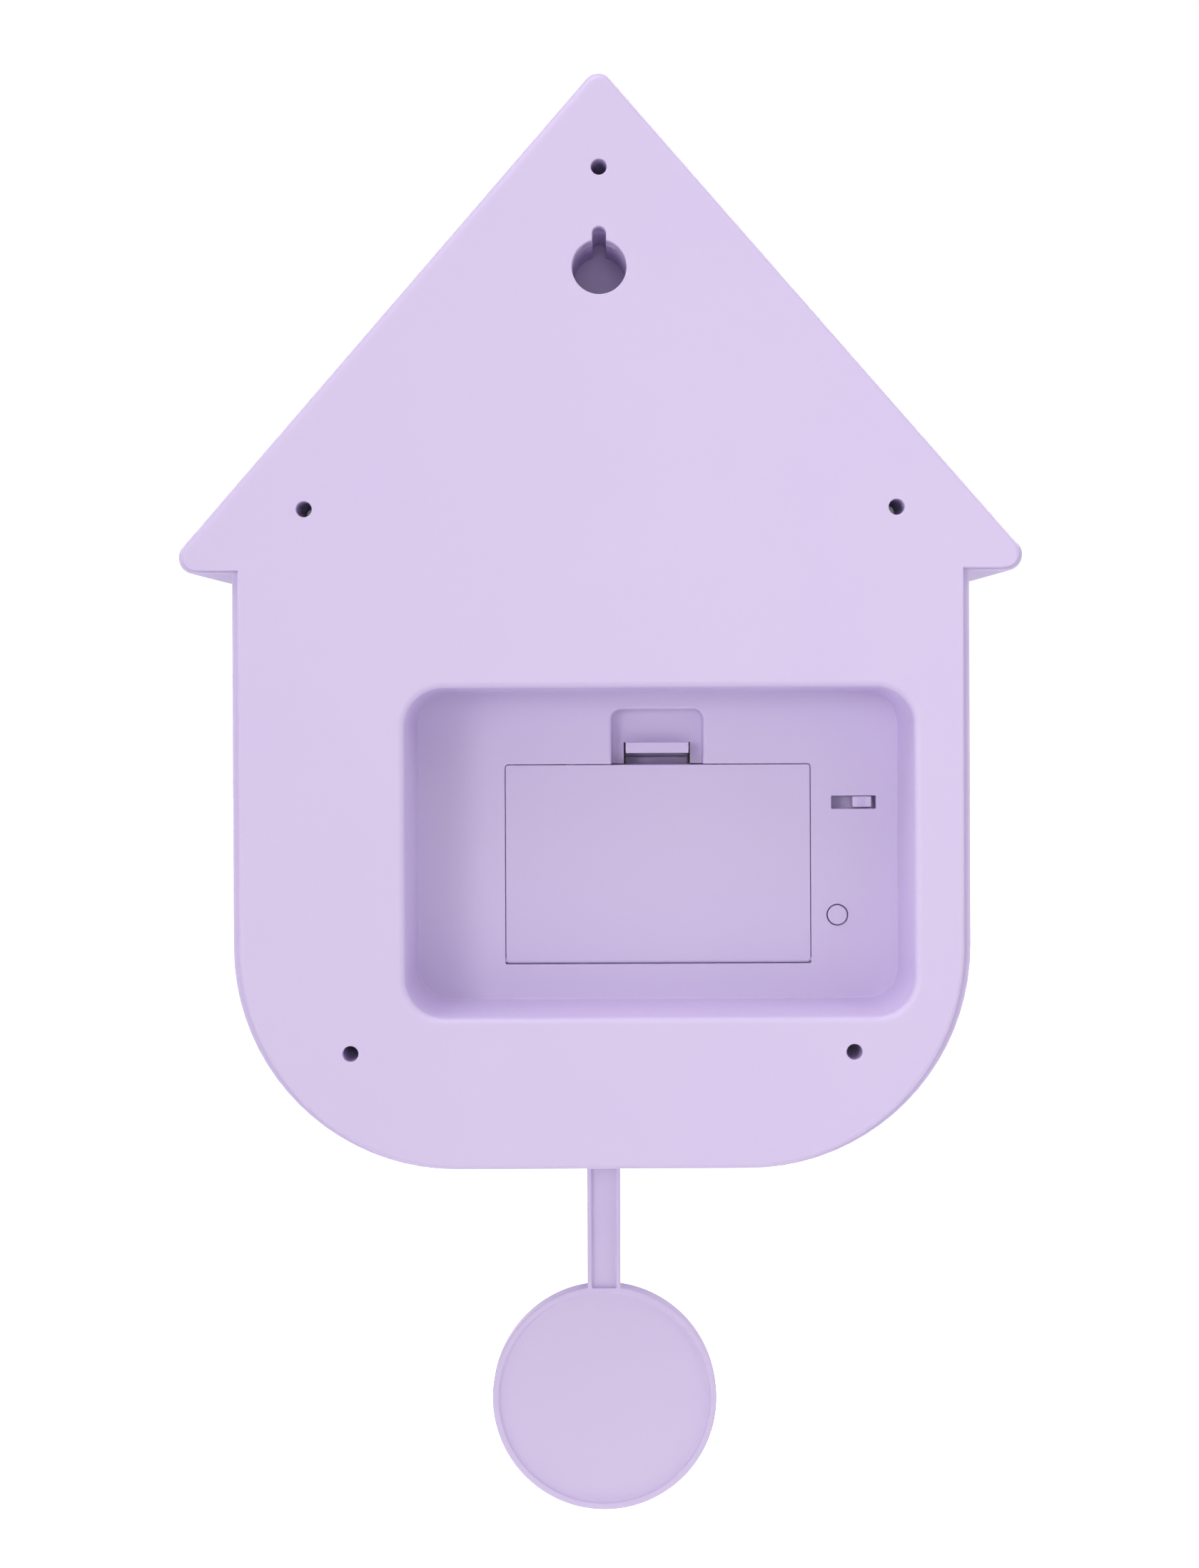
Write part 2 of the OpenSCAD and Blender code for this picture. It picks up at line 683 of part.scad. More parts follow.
module bird_body() color(white) {
    union() {
        // body: a solid of revolution tilted up towards the head
        translate([0, bird_y, bird_z]) rotate([90 - 22, 0, 0]) rotate_extrude($fn = 48)
            polygon([for (a = [-90 : 10 : 90]) [8.4 * cos(a), 12.5 * sin(a)]]);
        translate(head_pos) sphere(r = head_r, $fn = 48);
        // tail
        translate([0, bird_y + 9, bird_z - 2]) rotate([28, 0, 0])
            linear_extrude(2.2, center = true)
                polygon([[-3, -2], [3, -2], [5, 9.5], [-5, 9.5]]);
        // stem that stands on the carriage
        rod_z(2.4, carriage_z[1], bird_z - 4, 0, bird_y);
    }
}

module bird_wings() color(pale_lilac)
    for (side = [-1, 1])
        translate([side * 8.0, bird_y, bird_z + 0.6]) rotate([0, 90, 0])
            linear_extrude(1.8, center = true)
                polygon(rounded([[-3.6, -6.5, 2.5], [3.6, -5.5, 2.5], [2.5, 10, 1.5], [-1, 8, 1.5]]));

module bird_beak() color(amber)
    translate([0, head_pos[1] - head_r + 1.2, head_pos[2]]) rotate([90, 0, 0])
        cylinder(h = 6.2, r1 = 2.6, r2 = 0.3, $fn = 32);

module bird_eyes() color(black)
    for (side = [-1, 1])
        translate(head_pos) rotate([0, 0, side * 42]) rotate([98, 0, 0])
            translate([0, 2.5, head_r - 1.1]) cylinder(h = 1.2, r = 1.0, $fn = 24);

// Rack beside the carriage: a gap faces the pinion's tooth
module rack_outline() {
    first = ceil((carriage_y[0] - pinion_pos[1]) / rack_pitch);
    last = floor((carriage_y[1] - pinion_pos[1]) / rack_pitch) - 1;
    for (k = [first : last]) {
        mid = pinion_pos[1] + (k + 0.5) * rack_pitch;
        half = rack_pitch / 4 - 0.06;
        lean = tan(20) * rack_module;
        polygon([[rack_x - 1.25 * rack_module - 0.5, mid - half - 1.25 * lean],
                 [rack_x - 1.25 * rack_module, mid - half - 1.25 * lean],
                 [rack_x + rack_module * 0.95, mid - half + 0.95 * lean],
                 [rack_x + rack_module * 0.95, mid + half - 0.95 * lean],
                 [rack_x - 1.25 * rack_module, mid + half + 1.25 * lean],
                 [rack_x - 1.25 * rack_module - 0.5, mid + half + 1.25 * lean]]);
    }
}

module bird_carriage() color(white) {
    block([-6, rack_x - 1.25 * rack_module], carriage_y, carriage_z);
    translate([0, 0, carriage_z[0]]) linear_extrude(carriage_z[1] - carriage_z[0]) rack_outline();
    // tongue that runs in the rail's groove
    block([-2.4, 2.4], [carriage_y[1] - 14, carriage_y[1]], [carriage_z[0] - 3.4, carriage_z[0] + 0.5]);
}

module guide_rail() color(white) {
    base = [-58.5, -56.5];
    difference() {
        union() {
            block([-rail_post_x + 3, rail_post_x - 3], rail_y, base);
            for (side = [-1, 1]) {
                block([side * 2.6, side * 5], rail_y, [base[0] + 1, carriage_z[0] - 0.2]);
                // tab screwed to the front shell's post
                block([side * (rail_post_x - 4), side * (rail_post_x + 4)],
                      [rail_y[0] + 4, rail_y[0] + 5.5], [rail_post_z - 4, rail_post_z + 4]);
            }
        }
        rod_z(motor_r + gap, motor_z[0], base[1] + 1, pinion_pos[0], pinion_pos[1]);
        for (side = [-1, 1])
            rod_y(pilot_r + 0.2, 0, rail_y[0] - 5, side * rail_post_x, rail_post_z);
        block([rail_post_x - 5.5, rail_post_x + 5], [rail_y[0] - 1, rail_y[0] + 3.9], [-60, -55]);
        block([-rail_post_x + 5.5, -rail_post_x - 5], [rail_y[0] - 1, rail_y[0] + 3.9], [-60, -55]);
    }
}

module rail_screws() color(steel)
    for (side = [-1, 1])
        screw_y(side * rail_post_x, rail_post_z, rail_y[0] + 6.7, 2, 1.2, screw_shank_r, 6);

module bird_motor() color(steel) {
    rod_z(motor_r, motor_z[0], motor_z[1], pinion_pos[0], pinion_pos[1]);
    rod_z(2.2, motor_z[1] - 0.5, motor_z[1] + 1.2, pinion_pos[0], pinion_pos[1]);
    rod_z(1, motor_z[1], carriage_z[1] + 0.4, pinion_pos[0], pinion_pos[1]);
}

module drive_pinion() color(brass)
    translate([pinion_pos[0], pinion_pos[1], carriage_z[0] - 0.5]) difference() {
        linear_extrude(carriage_z[1] - carriage_z[0] + 0.7)
            gear_outline(pinion_teeth, rack_module, 0.06, 3);
        translate([0, 0, -1]) cylinder(h = 6, r = 1 + gap, $fn = 32);
    }

module door() color(lilac) {
    barrel_r = door_t / 2;
    difference() {
        union() {
            slab(field_y + door_t, field_y) intersection() {
                union() {
                    translate([0, arch_z]) circle(r = door_half - door_clear, $fn = fine);
                    translate([-door_half + door_clear, sill_z + door_clear])
                        square([2 * (door_half - door_clear), arch_z - sill_z - door_clear]);
                }
                translate([door_axis[0], sill_z]) square([60, 60]);
            }
            rod_z(barrel_r, sill_z + door_clear, door_barrel_top, door_axis[0], door_axis[1]);
            // small round pull
            rod_y(1.8, field_y + 0.5, field_y - 1.6, door_half - 5, (sill_z + arch_z) / 2);
        }
        rod_z(door_pin_r + gap, sill_z - 1, arch_z + 12, door_axis[0], door_axis[1]);
        // notch above the hinge barrel, so the door swings clear of the arch
        block([-door_half, door_axis[0] + barrel_r + 0.3], [0, front_y], [door_barrel_top, arch_z + 12]);
    }
}

module door_hinge_pin() color(steel)
    rod_z(door_pin_r, sill_z - 2.8, arch_z + 9.5, door_axis[0], door_axis[1]);

// ---- pendulum ------------------------------------------------------------------------

rod_t = 5;
disc_t = 6;
rim_w = 1.7;
rod_rim = 1.2;
eye_r = 4.9;                    // eye round the pivot pin
hollow = 1.2;
pin_r = 1.5;
bracket_y = [-20, -42];
bracket_t = 1.8;
bracket_half = 16;
bracket_z = [-216, -195.4];
magnet_z = -212;

module pendulum() color(lilac)
    difference() {
        union() {
            slab(-pendulum_y, -pendulum_y - rod_t) union() {
                translate([-rod_w / 2, disc_z]) square([rod_w, pivot_z - disc_z]);
                translate([0, pivot_z]) circle(r = eye_r, $fn = fine);
            }
            rod_y(disc_r, -pendulum_y, -pendulum_y - disc_t, 0, disc_z);
        }
        rod_y(disc_r - rim_w, 0, -pendulum_y - hollow, 0, disc_z);
        block([-rod_w / 2 + rod_rim, rod_w / 2 - rod_rim], [0, -pendulum_y - hollow],
              [disc_z + disc_r - 0.6, pivot_z - 8]);
        rod_y(pin_r + gap, 0, -60, 0, pivot_z);
    }

module pendulum_magnet() color(steel)
    rod_y(3, -pendulum_y - rod_t, -pendulum_y - rod_t - 2.2, 0, magnet_z);

module pendulum_bracket() color(white)
    difference() {
        block([-bracket_half, bracket_half], bracket_y, bracket_z);
        block([-bracket_half + bracket_t, bracket_half - bracket_t],
              [bracket_y[0] - bracket_t, bracket_y[1] + bracket_t],
              [bracket_z[0] - 1, bracket_z[1] - 1.4]);
        rod_y(pin_r + 0.02, 0, -60, 0, pivot_z);
    }

module pendulum_pin() color(steel)
    rod_y(pin_r, bracket_y[0] + 0.6, bracket_y[1] - 0.6, 0, pivot_z);

module pendulum_coil() color(copper)
    difference() {
        rod_y(5.5, -pendulum_y - rod_t - 3.4, bracket_y[1] + bracket_t, 0, magnet_z);
        rod_y(1.6, 0, -60, 0, magnet_z);
    }

// ---- speaker, boards and sensor ------------------------------------------------------

speaker_z = -206.5;
speaker_r = 14.5;
sensor_z = -62.5;
sensor_r = 2.2;

module speaker_frame() color(black)
    translate([0, inner_y, speaker_z]) rotate([-90, 0, 0]) rotate_extrude($fn = fine)
        polygon([[speaker_r - 1.5, 0], [speaker_r, 0], [speaker_r, 2], [9, 9], [9, 11],
                 [6, 11], [6, 9.9], [7.6, 8.6], [speaker_r - 1.5, 1.5]]);

module speaker_cone() color([0.25, 0.25, 0.27])
    translate([0, inner_y, speaker_z]) rotate([-90, 0, 0]) rotate_extrude($fn = fine)
        polygon([[0, 5.6], [3.5, 5.9], [4.2, 6.6], [speaker_r - 1.9, 0.8], [speaker_r - 1.9, 1.3],
                 [4.6, 7.6], [4.6, 9.6], [3.9, 9.6], [3.6, 6.8], [0, 6.3]]);

module speaker_magnet() color(steel)
    rod_y(8, inner_y + 16, inner_y + 11, 0, speaker_z);

module main_board() color(board_green)
    difference() {
        block([-32, 32], [main_y, main_y - board_t], [-99, -63]);
        for (p = main_posts) rod_y(pilot_r + 0.3, 0, -50, p[0], p[1]);
    }

module sound_chip() color(black) {
    chip_y = main_y - board_t;
    block([-8, 4], [chip_y, chip_y - 2], [-92, -80]);
    block([12, 18], [chip_y, chip_y - 1.6], [-90, -80]);
}

module capacitor() color([0.15, 0.2, 0.35])
    rod_y(3.2, main_y - board_t, main_y - board_t - 9, -20, -78);

module control_board() color(board_green)
    difference() {
        block([-76.5, -56.6], [board_y, board_y - board_t], [-171, -131.5]);
        for (p = control_posts) rod_y(pilot_r, 0, -50, p[0], p[1]);
    }

module board_screws() color(steel) {
    for (p = control_posts)
        mirror_screw(p, board_y - board_t, 1.5, 0.7, 3.4);
    for (p = main_posts)
        mirror_screw(p, main_y - board_t, 2, screw_shank_r, 8);
}

// A screw driven towards the rear cover from the board's front face at depth y0
module mirror_screw(p, y0, head_r, shank_r, length) {
    rod_y(head_r, y0, y0 - 1.1, p[0], p[1]);
    rod_y(shank_r, y0 + length, y0, p[0], p[1]);
}

switch_body_y = [-30, board_y];
switch_cavity_y = -32.6;

module switch_body() color(steel)
    difference() {
        block([switch_x - 7, switch_x + 7], switch_body_y, [switch_z - 3.2, switch_z + 3.2]);
        block(around(switch_x, switch_w / 2), [0, switch_cavity_y],
              [switch_z - 1.7, switch_z + 1.7]);
    }

module switch_knob() color(lilac)
    block([knob_x - knob_w / 2, knob_x + knob_w / 2], [floor_y + 0.1, switch_cavity_y + 0.2],
          [knob_z - knob_h / 2, knob_z + knob_h / 2]);

tact_y = -31.7;

module tact_switch() color(black)
    difference() {
        block([button_x - 3, button_x + 3], [tact_y, board_y], [button_z - 3, button_z + 3]);
        rod_y(1.5 + gap, 0, tact_y - 1.6, button_x, button_z);
    }

module tact_plunger() color(white)
    rod_y(1.5, button_back, tact_y - 0.5, button_x, button_z);

button_back = -30.6;

module button_cap() color(lilac) {
    rod_y(button_r, floor_y + 0.6, button_back, button_x, button_z);
    rod_y(3.4, button_back + 0.8, button_back, button_x, button_z);
}

module light_sensor() color(black)
    rod_y(2.3, inner_y + 4, inner_y + 0.3, 0, sensor_z);

module sensor_lens() color([0.9, 0.9, 0.95])
    rod_y(sensor_r, inner_y + 0.2, field_y - 0.4, 0, sensor_z);

// ---- battery compartment --------------------------------------------------------------

module tray_box(grow, y) {
    block([lying_x[0] - grow, lying_x[1] + grow], y, [lying_z[0] - grow, lying_z[1] + grow]);
    block([standing_x[0] - grow, standing_x[1] + grow], y,
          [standing_z[0] - grow, standing_z[1] + grow]);
}

module battery_tray() color(pale_lilac)
    difference() {
        tray_box(tray_t, [floor_back, tray_y - tray_t]);
        tray_box(0, [0, tray_y]);
        // way for the latch's lower leg
        block([latch_x - 10, latch_x + 10], [0, -43.5], [lying_z[1] - 0.5, lying_z[1] + 5]);
    }

// A cell whose positive end is at the origin, lying towards +Z
module cell() {
    nub = 1.3;
    cylinder(h = nub, r = 2.7, $fn = 32);
    translate([0, 0, nub]) cylinder(h = cell_len - nub, r = cell_r, $fn = fine);
}

// Left and right ends of the three lying rows, top row first: +1 has its positive end at +X
rows = [1, -1, 1];

module battery_cells() color([0.2, 0.22, 0.25]) {
    for (i = [0 : 2]) {
        wall_x = rows[i] > 0 ? lying_x[1] - plate_contact_t : lying_x[0] + plate_contact_t;
        translate([wall_x, cell_y, row_mid + (1 - i) * row_pitch]) rotate([0, -90 * rows[i], 0]) cell();
    }
    translate([standing_mid, cell_y, standing_z[1] - plate_contact_t]) rotate([180, 0, 0]) cell();
}

module contact_plates() color(steel) {
    for (i = [0 : 2], x = [lying_x[0], lying_x[1] - plate_contact_t])
        block([x, x + plate_contact_t], around(cell_y, 5.5),
              around(row_mid + (1 - i) * row_pitch, 6));
    for (z = [standing_z[0], standing_z[1] - plate_contact_t])
        block(around(standing_mid, 6), around(cell_y, 5.5), [z, z + plate_contact_t]);
}

// Conical coil spring along +Z from the origin
module coil_spring(length, r0, r1, turns, wire_r) {
    n = round(turns * 10);
    tube([for (i = [0 : n])
        let (a = 360 * turns * i / n, r = r0 + (r1 - r0) * i / n)
        [r * cos(a), r * sin(a), wire_r + 0.03 + (length - 2 * wire_r - 0.06) * i / n]], wire_r, 5, [0, 0, 1]);
}

module contact_springs() color(steel) {
    lying_gap = lying_x[1] - lying_x[0] - 2 * plate_contact_t - cell_len;
    for (i = [0 : 2]) {
        x = rows[i] > 0 ? lying_x[0] + plate_contact_t : lying_x[1] - plate_contact_t;
        translate([x, cell_y, row_mid + (1 - i) * row_pitch]) rotate([0, 90 * rows[i], 0])
            coil_spring(lying_gap, 4.6, 3, 3.5, 0.35);
    }
    standing_gap = standing_z[1] - standing_z[0] - 2 * plate_contact_t - cell_len;
    translate([standing_mid, cell_y, standing_z[0] + plate_contact_t])
        coil_spring(standing_gap, 4.6, 3, 3, 0.35);
}

module battery_cover() color(lilac) {
    half = bay_w / 2 - cover_gap;
    cover_back = floor_y - cover_plate_t;
    block([bay_x - half, bay_x + half], [floor_y, cover_back], [cover_hinge_z, bay_top - cover_gap]);
    rod_x(hinge_r, bay_x - half, bay_x + half, cover_hinge_y, cover_hinge_z);
    rod_x(hinge_stub_r, bay_x - bay_w / 2 - hinge_stub, bay_x + bay_w / 2 + hinge_stub,
          cover_hinge_y, cover_hinge_z);
    // fixed leg and first half of the latch's U
    leg_z = latch_bend_z - latch_bend_r;
    block(around(latch_x, latch_w / 2), [cover_back + 0.5, latch_bend_y],
          [leg_z, leg_z + latch_t]);
    latch_bend(-1);
}

// Half of the U bend: side -1 is the lower half, +1 the upper one
module latch_bend(side) {
    split = 0.15;
    difference() {
        rod_x(latch_bend_r, latch_x - latch_w / 2, latch_x + latch_w / 2, latch_bend_y, latch_bend_z);
        rod_x(latch_bend_r - latch_t, latch_x - latch_w, latch_x + latch_w, latch_bend_y, latch_bend_z);
        block(around(latch_x, latch_w), [latch_bend_y, latch_bend_y + 10],
              around(latch_bend_z, 6));
        block(around(latch_x, latch_w), around(latch_bend_y, 6),
              [latch_bend_z - side * 10, latch_bend_z + side * split]);
    }
}

module cover_latch() color(lilac) {
    leg_z = latch_bend_z + latch_bend_r;
    latch_bend(1);
    block(around(latch_x, latch_w / 2), [latch_bend_y, floor_y - 0.4],
          [leg_z - latch_t, leg_z]);
    block(around(latch_x, latch_w / 2), [floor_y - 1.9, floor_y - 0.4], bar_z);
}

// ---- leads ---------------------------------------------------------------------------

module leads() color([0.75, 0.12, 0.1]) {
    tube([[-40, -40, -126.6], [-40, -40, -112], [-22, -37, -104], [-20, -32.3, -95]], 0.6);
    tube([[12, -52, -196], [36, -46, -186], [36, -40, -110], [26, -32.3, -90]], 0.6);
    tube([[14, -50, -72.8], [14, -42, -78], [10, -32.3, -76]], 0.6);
    tube([[17, -40, -121.8], [17, -40, -112], [22, -44, -100], [22, -53, -102.3]], 0.6);
    tube([[-58, -36.3, -135], [-58, -42, -118], [-28, -38, -102], [-26, -32.3, -90]], 0.6);
}

front_shell();
rear_cover();
case_screws();
dial_bezel();
dial_plate();
hour_markers();
dial_screws();
movement_base();
movement_lid();
movement_nut();
motor_stator();
motor_coil();
motor_rotor();
movement_board();
centre_wheel();
third_wheel();
minute_wheel();
hour_wheel();
hour_hand();
minute_hand();
hand_cap();
bird_body();
bird_wings();
bird_beak();
bird_eyes();
bird_carriage();
guide_rail();
rail_screws();
bird_motor();
drive_pinion();
door();
door_hinge_pin();
pendulum();
pendulum_magnet();
pendulum_bracket();
pendulum_pin();
pendulum_coil();
speaker_frame();
speaker_cone();
speaker_magnet();
main_board();
sound_chip();
capacitor();
control_board();
board_screws();
switch_body();
switch_knob();
tact_switch();
tact_plunger();
button_cap();
light_sensor();
sensor_lens();
battery_tray();
contact_plates();
contact_springs();
battery_cells();
battery_cover();
cover_latch();
leads();
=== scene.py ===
"""Looks of the wall cuckoo clock: moulded plastic pieces, dial, bird, studio and camera.

Outlines and depths are in millimetres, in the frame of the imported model: +Z up, the front
faces -Y, the rear face lies on y = 0. Meshes are written in metres.
"""

import math

import bmesh
import bpy
from mathutils import Matrix, Vector


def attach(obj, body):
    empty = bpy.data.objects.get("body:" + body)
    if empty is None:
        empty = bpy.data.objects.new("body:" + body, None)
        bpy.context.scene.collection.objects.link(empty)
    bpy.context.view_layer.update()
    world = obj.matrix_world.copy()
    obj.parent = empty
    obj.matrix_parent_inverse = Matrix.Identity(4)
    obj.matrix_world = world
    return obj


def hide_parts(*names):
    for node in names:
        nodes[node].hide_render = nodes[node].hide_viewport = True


MM = 0.001
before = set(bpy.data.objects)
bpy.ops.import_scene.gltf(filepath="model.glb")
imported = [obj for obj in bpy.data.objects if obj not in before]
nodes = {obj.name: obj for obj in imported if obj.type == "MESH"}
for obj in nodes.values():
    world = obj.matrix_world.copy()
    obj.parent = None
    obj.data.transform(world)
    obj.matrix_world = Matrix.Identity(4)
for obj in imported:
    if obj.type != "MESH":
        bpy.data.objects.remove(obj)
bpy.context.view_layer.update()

# Case and rear cover
CASE_DEPTH = 70
FIELD_Y = -68.5
INNER_Y = -66
COVER_T = 2.5
WALL = 2.4
BORDER = 6.5
TIP_R = 4.1
SLOPE = 0.8696
ROOF_RISE = 1.524  # how far the gable point moves when the roof moves 1 mm
KEYHOLE_R = 6.9
SCREWS = [(0, 25.2), (-74.8, -60.9), (74.8, -60.9), (-63.6, -198.4), (63.6, -198.4)]

# Pocket in the rear cover: middle x and z, width, height (and corner radius) of what is in it
POCKET = (-14.7, -147.9, 126.2, 80.7, 8.5)
FLOOR_Y = -27
FLOOR_BACK = -29.5
MOUTH = 3
BAY_X, BAY_Z, BAY_W, BAY_H = -14.7, -152.8, 80.6, 52.7
BAY_LEFT, BAY_RIGHT = BAY_X - BAY_W / 2, BAY_X + BAY_W / 2
BAY_TOP = BAY_Z + BAY_H / 2
BAY_BOTTOM = BAY_Z - BAY_H / 2
HINGE_Y, HINGE_Z, HINGE_R, STUB_R = -27.9, -178.05, 0.898, 0.6
RECESS_W, RECESS_TOP, RECESS_BACK, GATE_TOP = 24, -112.1, -32, -120.85
LATCH_X, LATCH_W, LATCH_T = -14.6, 16.6, 1.1
LATCH_LEFT, LATCH_RIGHT = LATCH_X - LATCH_W / 2, LATCH_X + LATCH_W / 2
BEND_Y, BEND_Z, BEND_R = -38, -124.8, 3.0
SWITCH = (-66.3, -136.75, 11.8, 3.5)
KNOB = (-68.5, -136.6, 4.95, 2.8)
BUTTON = (-61.9, -166.4, 2.54)  # x, z, radius

# Dial, door, pendulum
DIAL_Z, DIAL_R, DIAL_Y, DIAL_BACK = -131, 54, -62, -60.5
DOOR_HALF, SILL_Z, ARCH_Z = 17.55, -50, -26
PIVOT_Z, DISC_Z, DISC_R, ROD_W, PENDULUM_Y = -202, -293.8, 29.6, 8.8, -28
SPEAKER_Z, SENSOR_Z = -206.5, -62.5


# ---- outlines ------------------------------------------------------------------------


def rounded(corners, steps=12):
    """A closed outline through corners given as (a, b, radius)."""
    points = []
    for i, (a, b, r) in enumerate(corners):
        p = Vector((a, b))
        before = (Vector(corners[i - 1][:2]) - p).normalized()
        after = (Vector(corners[(i + 1) % len(corners)][:2]) - p).normalized()
        if r <= 0:
            points.append((a, b))
            continue
        half = before.angle(after) / 2
        centre = p + (before + after).normalized() * r / math.sin(half)
        start = p + before * r / math.tan(half) - centre
        end = p + after * r / math.tan(half) - centre
        a0 = math.atan2(start.y, start.x)
        turn = (math.atan2(end.y, end.x) - a0 + 3 * math.pi) % (2 * math.pi) - math.pi
        for k in range(steps + 1):
            t = a0 + turn * k / steps
            points.append((centre.x + r * math.cos(t), centre.y + r * math.sin(t)))
    return points


def circle(a, b, r, steps=72):
    return [
        (a + r * math.cos(2 * math.pi * k / steps), b + r * math.sin(2 * math.pi * k / steps))
        for k in range(steps)
    ]


def box(a, b, width, height, r=0.0, steps=6):
    w, h = width / 2, height / 2
    return rounded(
        [(a - w, b - h, r), (a + w, b - h, r), (a + w, b + h, r), (a - w, b + h, r)], steps
    )


def span(a0, a1, b0, b1, r=0.0, steps=4):
    """A box outline between limits."""
    return box((a0 + a1) / 2, (b0 + b1) / 2, a1 - a0, b1 - b0, r, steps)


def house(top, eave, half, bottom, corner, tip_r=TIP_R):
    """The gabled outline: gable and eave heights, half width, bottom and its corners."""
    tip = (top - eave) * SLOPE
    return rounded(
        [
            (0, top, tip_r), (-tip, eave, tip_r), (-half, eave, 0), (-half, bottom, corner),
            (half, bottom, corner), (half, eave, 0), (tip, eave, tip_r),
        ],
        20,
    )


def grown(outline, by):
    """The outline moved outwards by a distance, or by one distance for each point."""
    count = len(outline)
    by = by if isinstance(by, list) else [by] * count
    area = sum(
        outline[i][0] * outline[(i + 1) % count][1] - outline[(i + 1) % count][0] * outline[i][1]
        for i in range(count)
    )
    side = 1 if area > 0 else -1
    points = []
    for i in range(count):
        p = Vector(outline[i])
        u = (p - Vector(outline[i - 1])).normalized()
        v = (Vector(outline[(i + 1) % count]) - p).normalized()
        nu, nv = Vector((u.y, -u.x)) * side, Vector((v.y, -v.x)) * side
        points.append(tuple(p + (nu + nv) / (1 + nu.dot(nv)) * by[i]))
    return points


def round_edge(r, steps=5):
    """Steps of (distance in from the side, depth below the face) round an edge."""
    if r <= 0:
        return [(0, 0)]
    return [
        (r * (1 - math.sin(t)), r * (1 - math.cos(t)))
        for t in (math.pi / 2 * k / steps for k in range(steps + 1))
    ]


# ---- meshes ----------------------------------------------------------------------------


def place(a, b, level, axis):
    """A point of an outline at a level along an axis, in metres."""
    point = {"y": (a, level, b), "x": (level, a, b), "z": (a, b, level)}[axis]
    return tuple(c * MM for c in point)


def loft(rings, axis="y"):
    """A closed solid through rings of (outline, level) along an axis.

    A level is one number, or a list with one number for each point.
    """
    bm = bmesh.new()
    loops = []
    for outline, level in rings:
        levels = level if isinstance(level, list) else [level] * len(outline)
        loops.append([bm.verts.new(place(a, b, d, axis)) for (a, b), d in zip(outline, levels)])
    for low, high in zip(loops, loops[1:]):
        for i in range(len(low)):
            bm.faces.new((low[i - 1], low[i], high[i], high[i - 1]))
    bm.faces.new(loops[0])
    bm.faces.new(loops[-1])
    bmesh.ops.recalc_face_normals(bm, faces=bm.faces)
    return to_object("part", bm)


def prism(outline, start, end, r_start=0.0, r_end=0.0, axis="y", steps=5):
    """A plate of the outline from one level to the other, its edges rounded."""
    way = 1 if end > start else -1
    rings = [(grown(outline, -s), start + way * d) for s, d in round_edge(r_start, steps)]
    rings += [(grown(outline, -s), end - way * d) for s, d in reversed(round_edge(r_end, steps))]
    return loft(rings, axis)


def pit(outline, face, floor, lip=0.0, floor_r=0.0, axis="y", steps=5, draft=0.0):
    """A cutter for a hole from a face down to a floor, its lip and floor edge rounded.

    The draft is how far the walls lean in on the way down.
    """
    way = 1 if floor > face else -1
    rings = [(grown(outline, lip), face - way * 1.0)]
    rings += [(grown(outline, s), face + way * (d - 0.004)) for s, d in round_edge(lip, steps)]
    if floor_r > 0:
        for k in range(steps + 1):
            t = math.pi / 2 * k / steps
            rings.append((
                grown(outline, -draft - floor_r * (1 - math.cos(t))),
                floor - way * floor_r * (1 - math.sin(t)),
            ))
    else:
        rings.append((outline, floor))
    return loft(rings, axis)


def to_object(name, bm):
    mesh = bpy.data.meshes.new(name)
    bm.to_mesh(mesh)
    bm.free()
    obj = bpy.data.objects.new(name, mesh)
    bpy.context.scene.collection.objects.link(obj)
    return obj


def bake_modifiers(obj):
    """Replaces the mesh by what its modifiers make of it."""
    graph = bpy.context.evaluated_depsgraph_get()
    mesh = bpy.data.meshes.new_from_object(obj.evaluated_get(graph))
    obj.modifiers.clear()
    obj.data = mesh


def combine(base, operation, tools):
    """Joins or cuts a piece with others, which are used up.

    Thousandths in the levels of the tools keep their faces out of the piece's own planes.
    """
    for tool in tools:
        step = base.modifiers.new("step", "BOOLEAN")
        step.operation = operation
        step.solver = "EXACT"
        step.object = tool
        bake_modifiers(base)
        bpy.data.objects.remove(tool)


def add(base, *tools):
    combine(base, "UNION", tools)


def cut(base, *tools):
    combine(base, "DIFFERENCE", tools)


def finish_piece(obj, name, body, material, *stands_for, sharp=35, slot=None):
    """Names, smooths and dresses a piece and rides it on its body."""
    obj.name = obj.data.name = name
    bm = bmesh.new()
    bm.from_mesh(obj.data)
    bmesh.ops.remove_doubles(bm, verts=bm.verts, dist=2e-6)
    bmesh.ops.dissolve_degenerate(bm, dist=1e-6, edges=bm.edges)
    for face in bm.faces:
        face.smooth = True
    bm.to_mesh(obj.data)
    bm.free()
    obj.data.set_sharp_from_angle(angle=math.radians(sharp))
    weighted = obj.modifiers.new("normals", "WEIGHTED_NORMAL")
    weighted.keep_sharp = True
    obj.data.materials.clear()
    obj.data.materials.append(material)
    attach(obj, body)
    if stands_for:
        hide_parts(*stands_for)


# ---- materials -------------------------------------------------------------------------


def linear(*srgb):
    """An sRGB colour, 0 to 255, as the linear colour that a shader takes."""
    parts = [v / 255 for v in srgb]
    parts = [v / 12.92 if v <= 0.04045 else ((v + 0.055) / 1.055) ** 2.4 for v in parts]
    return (*parts, 1.0)


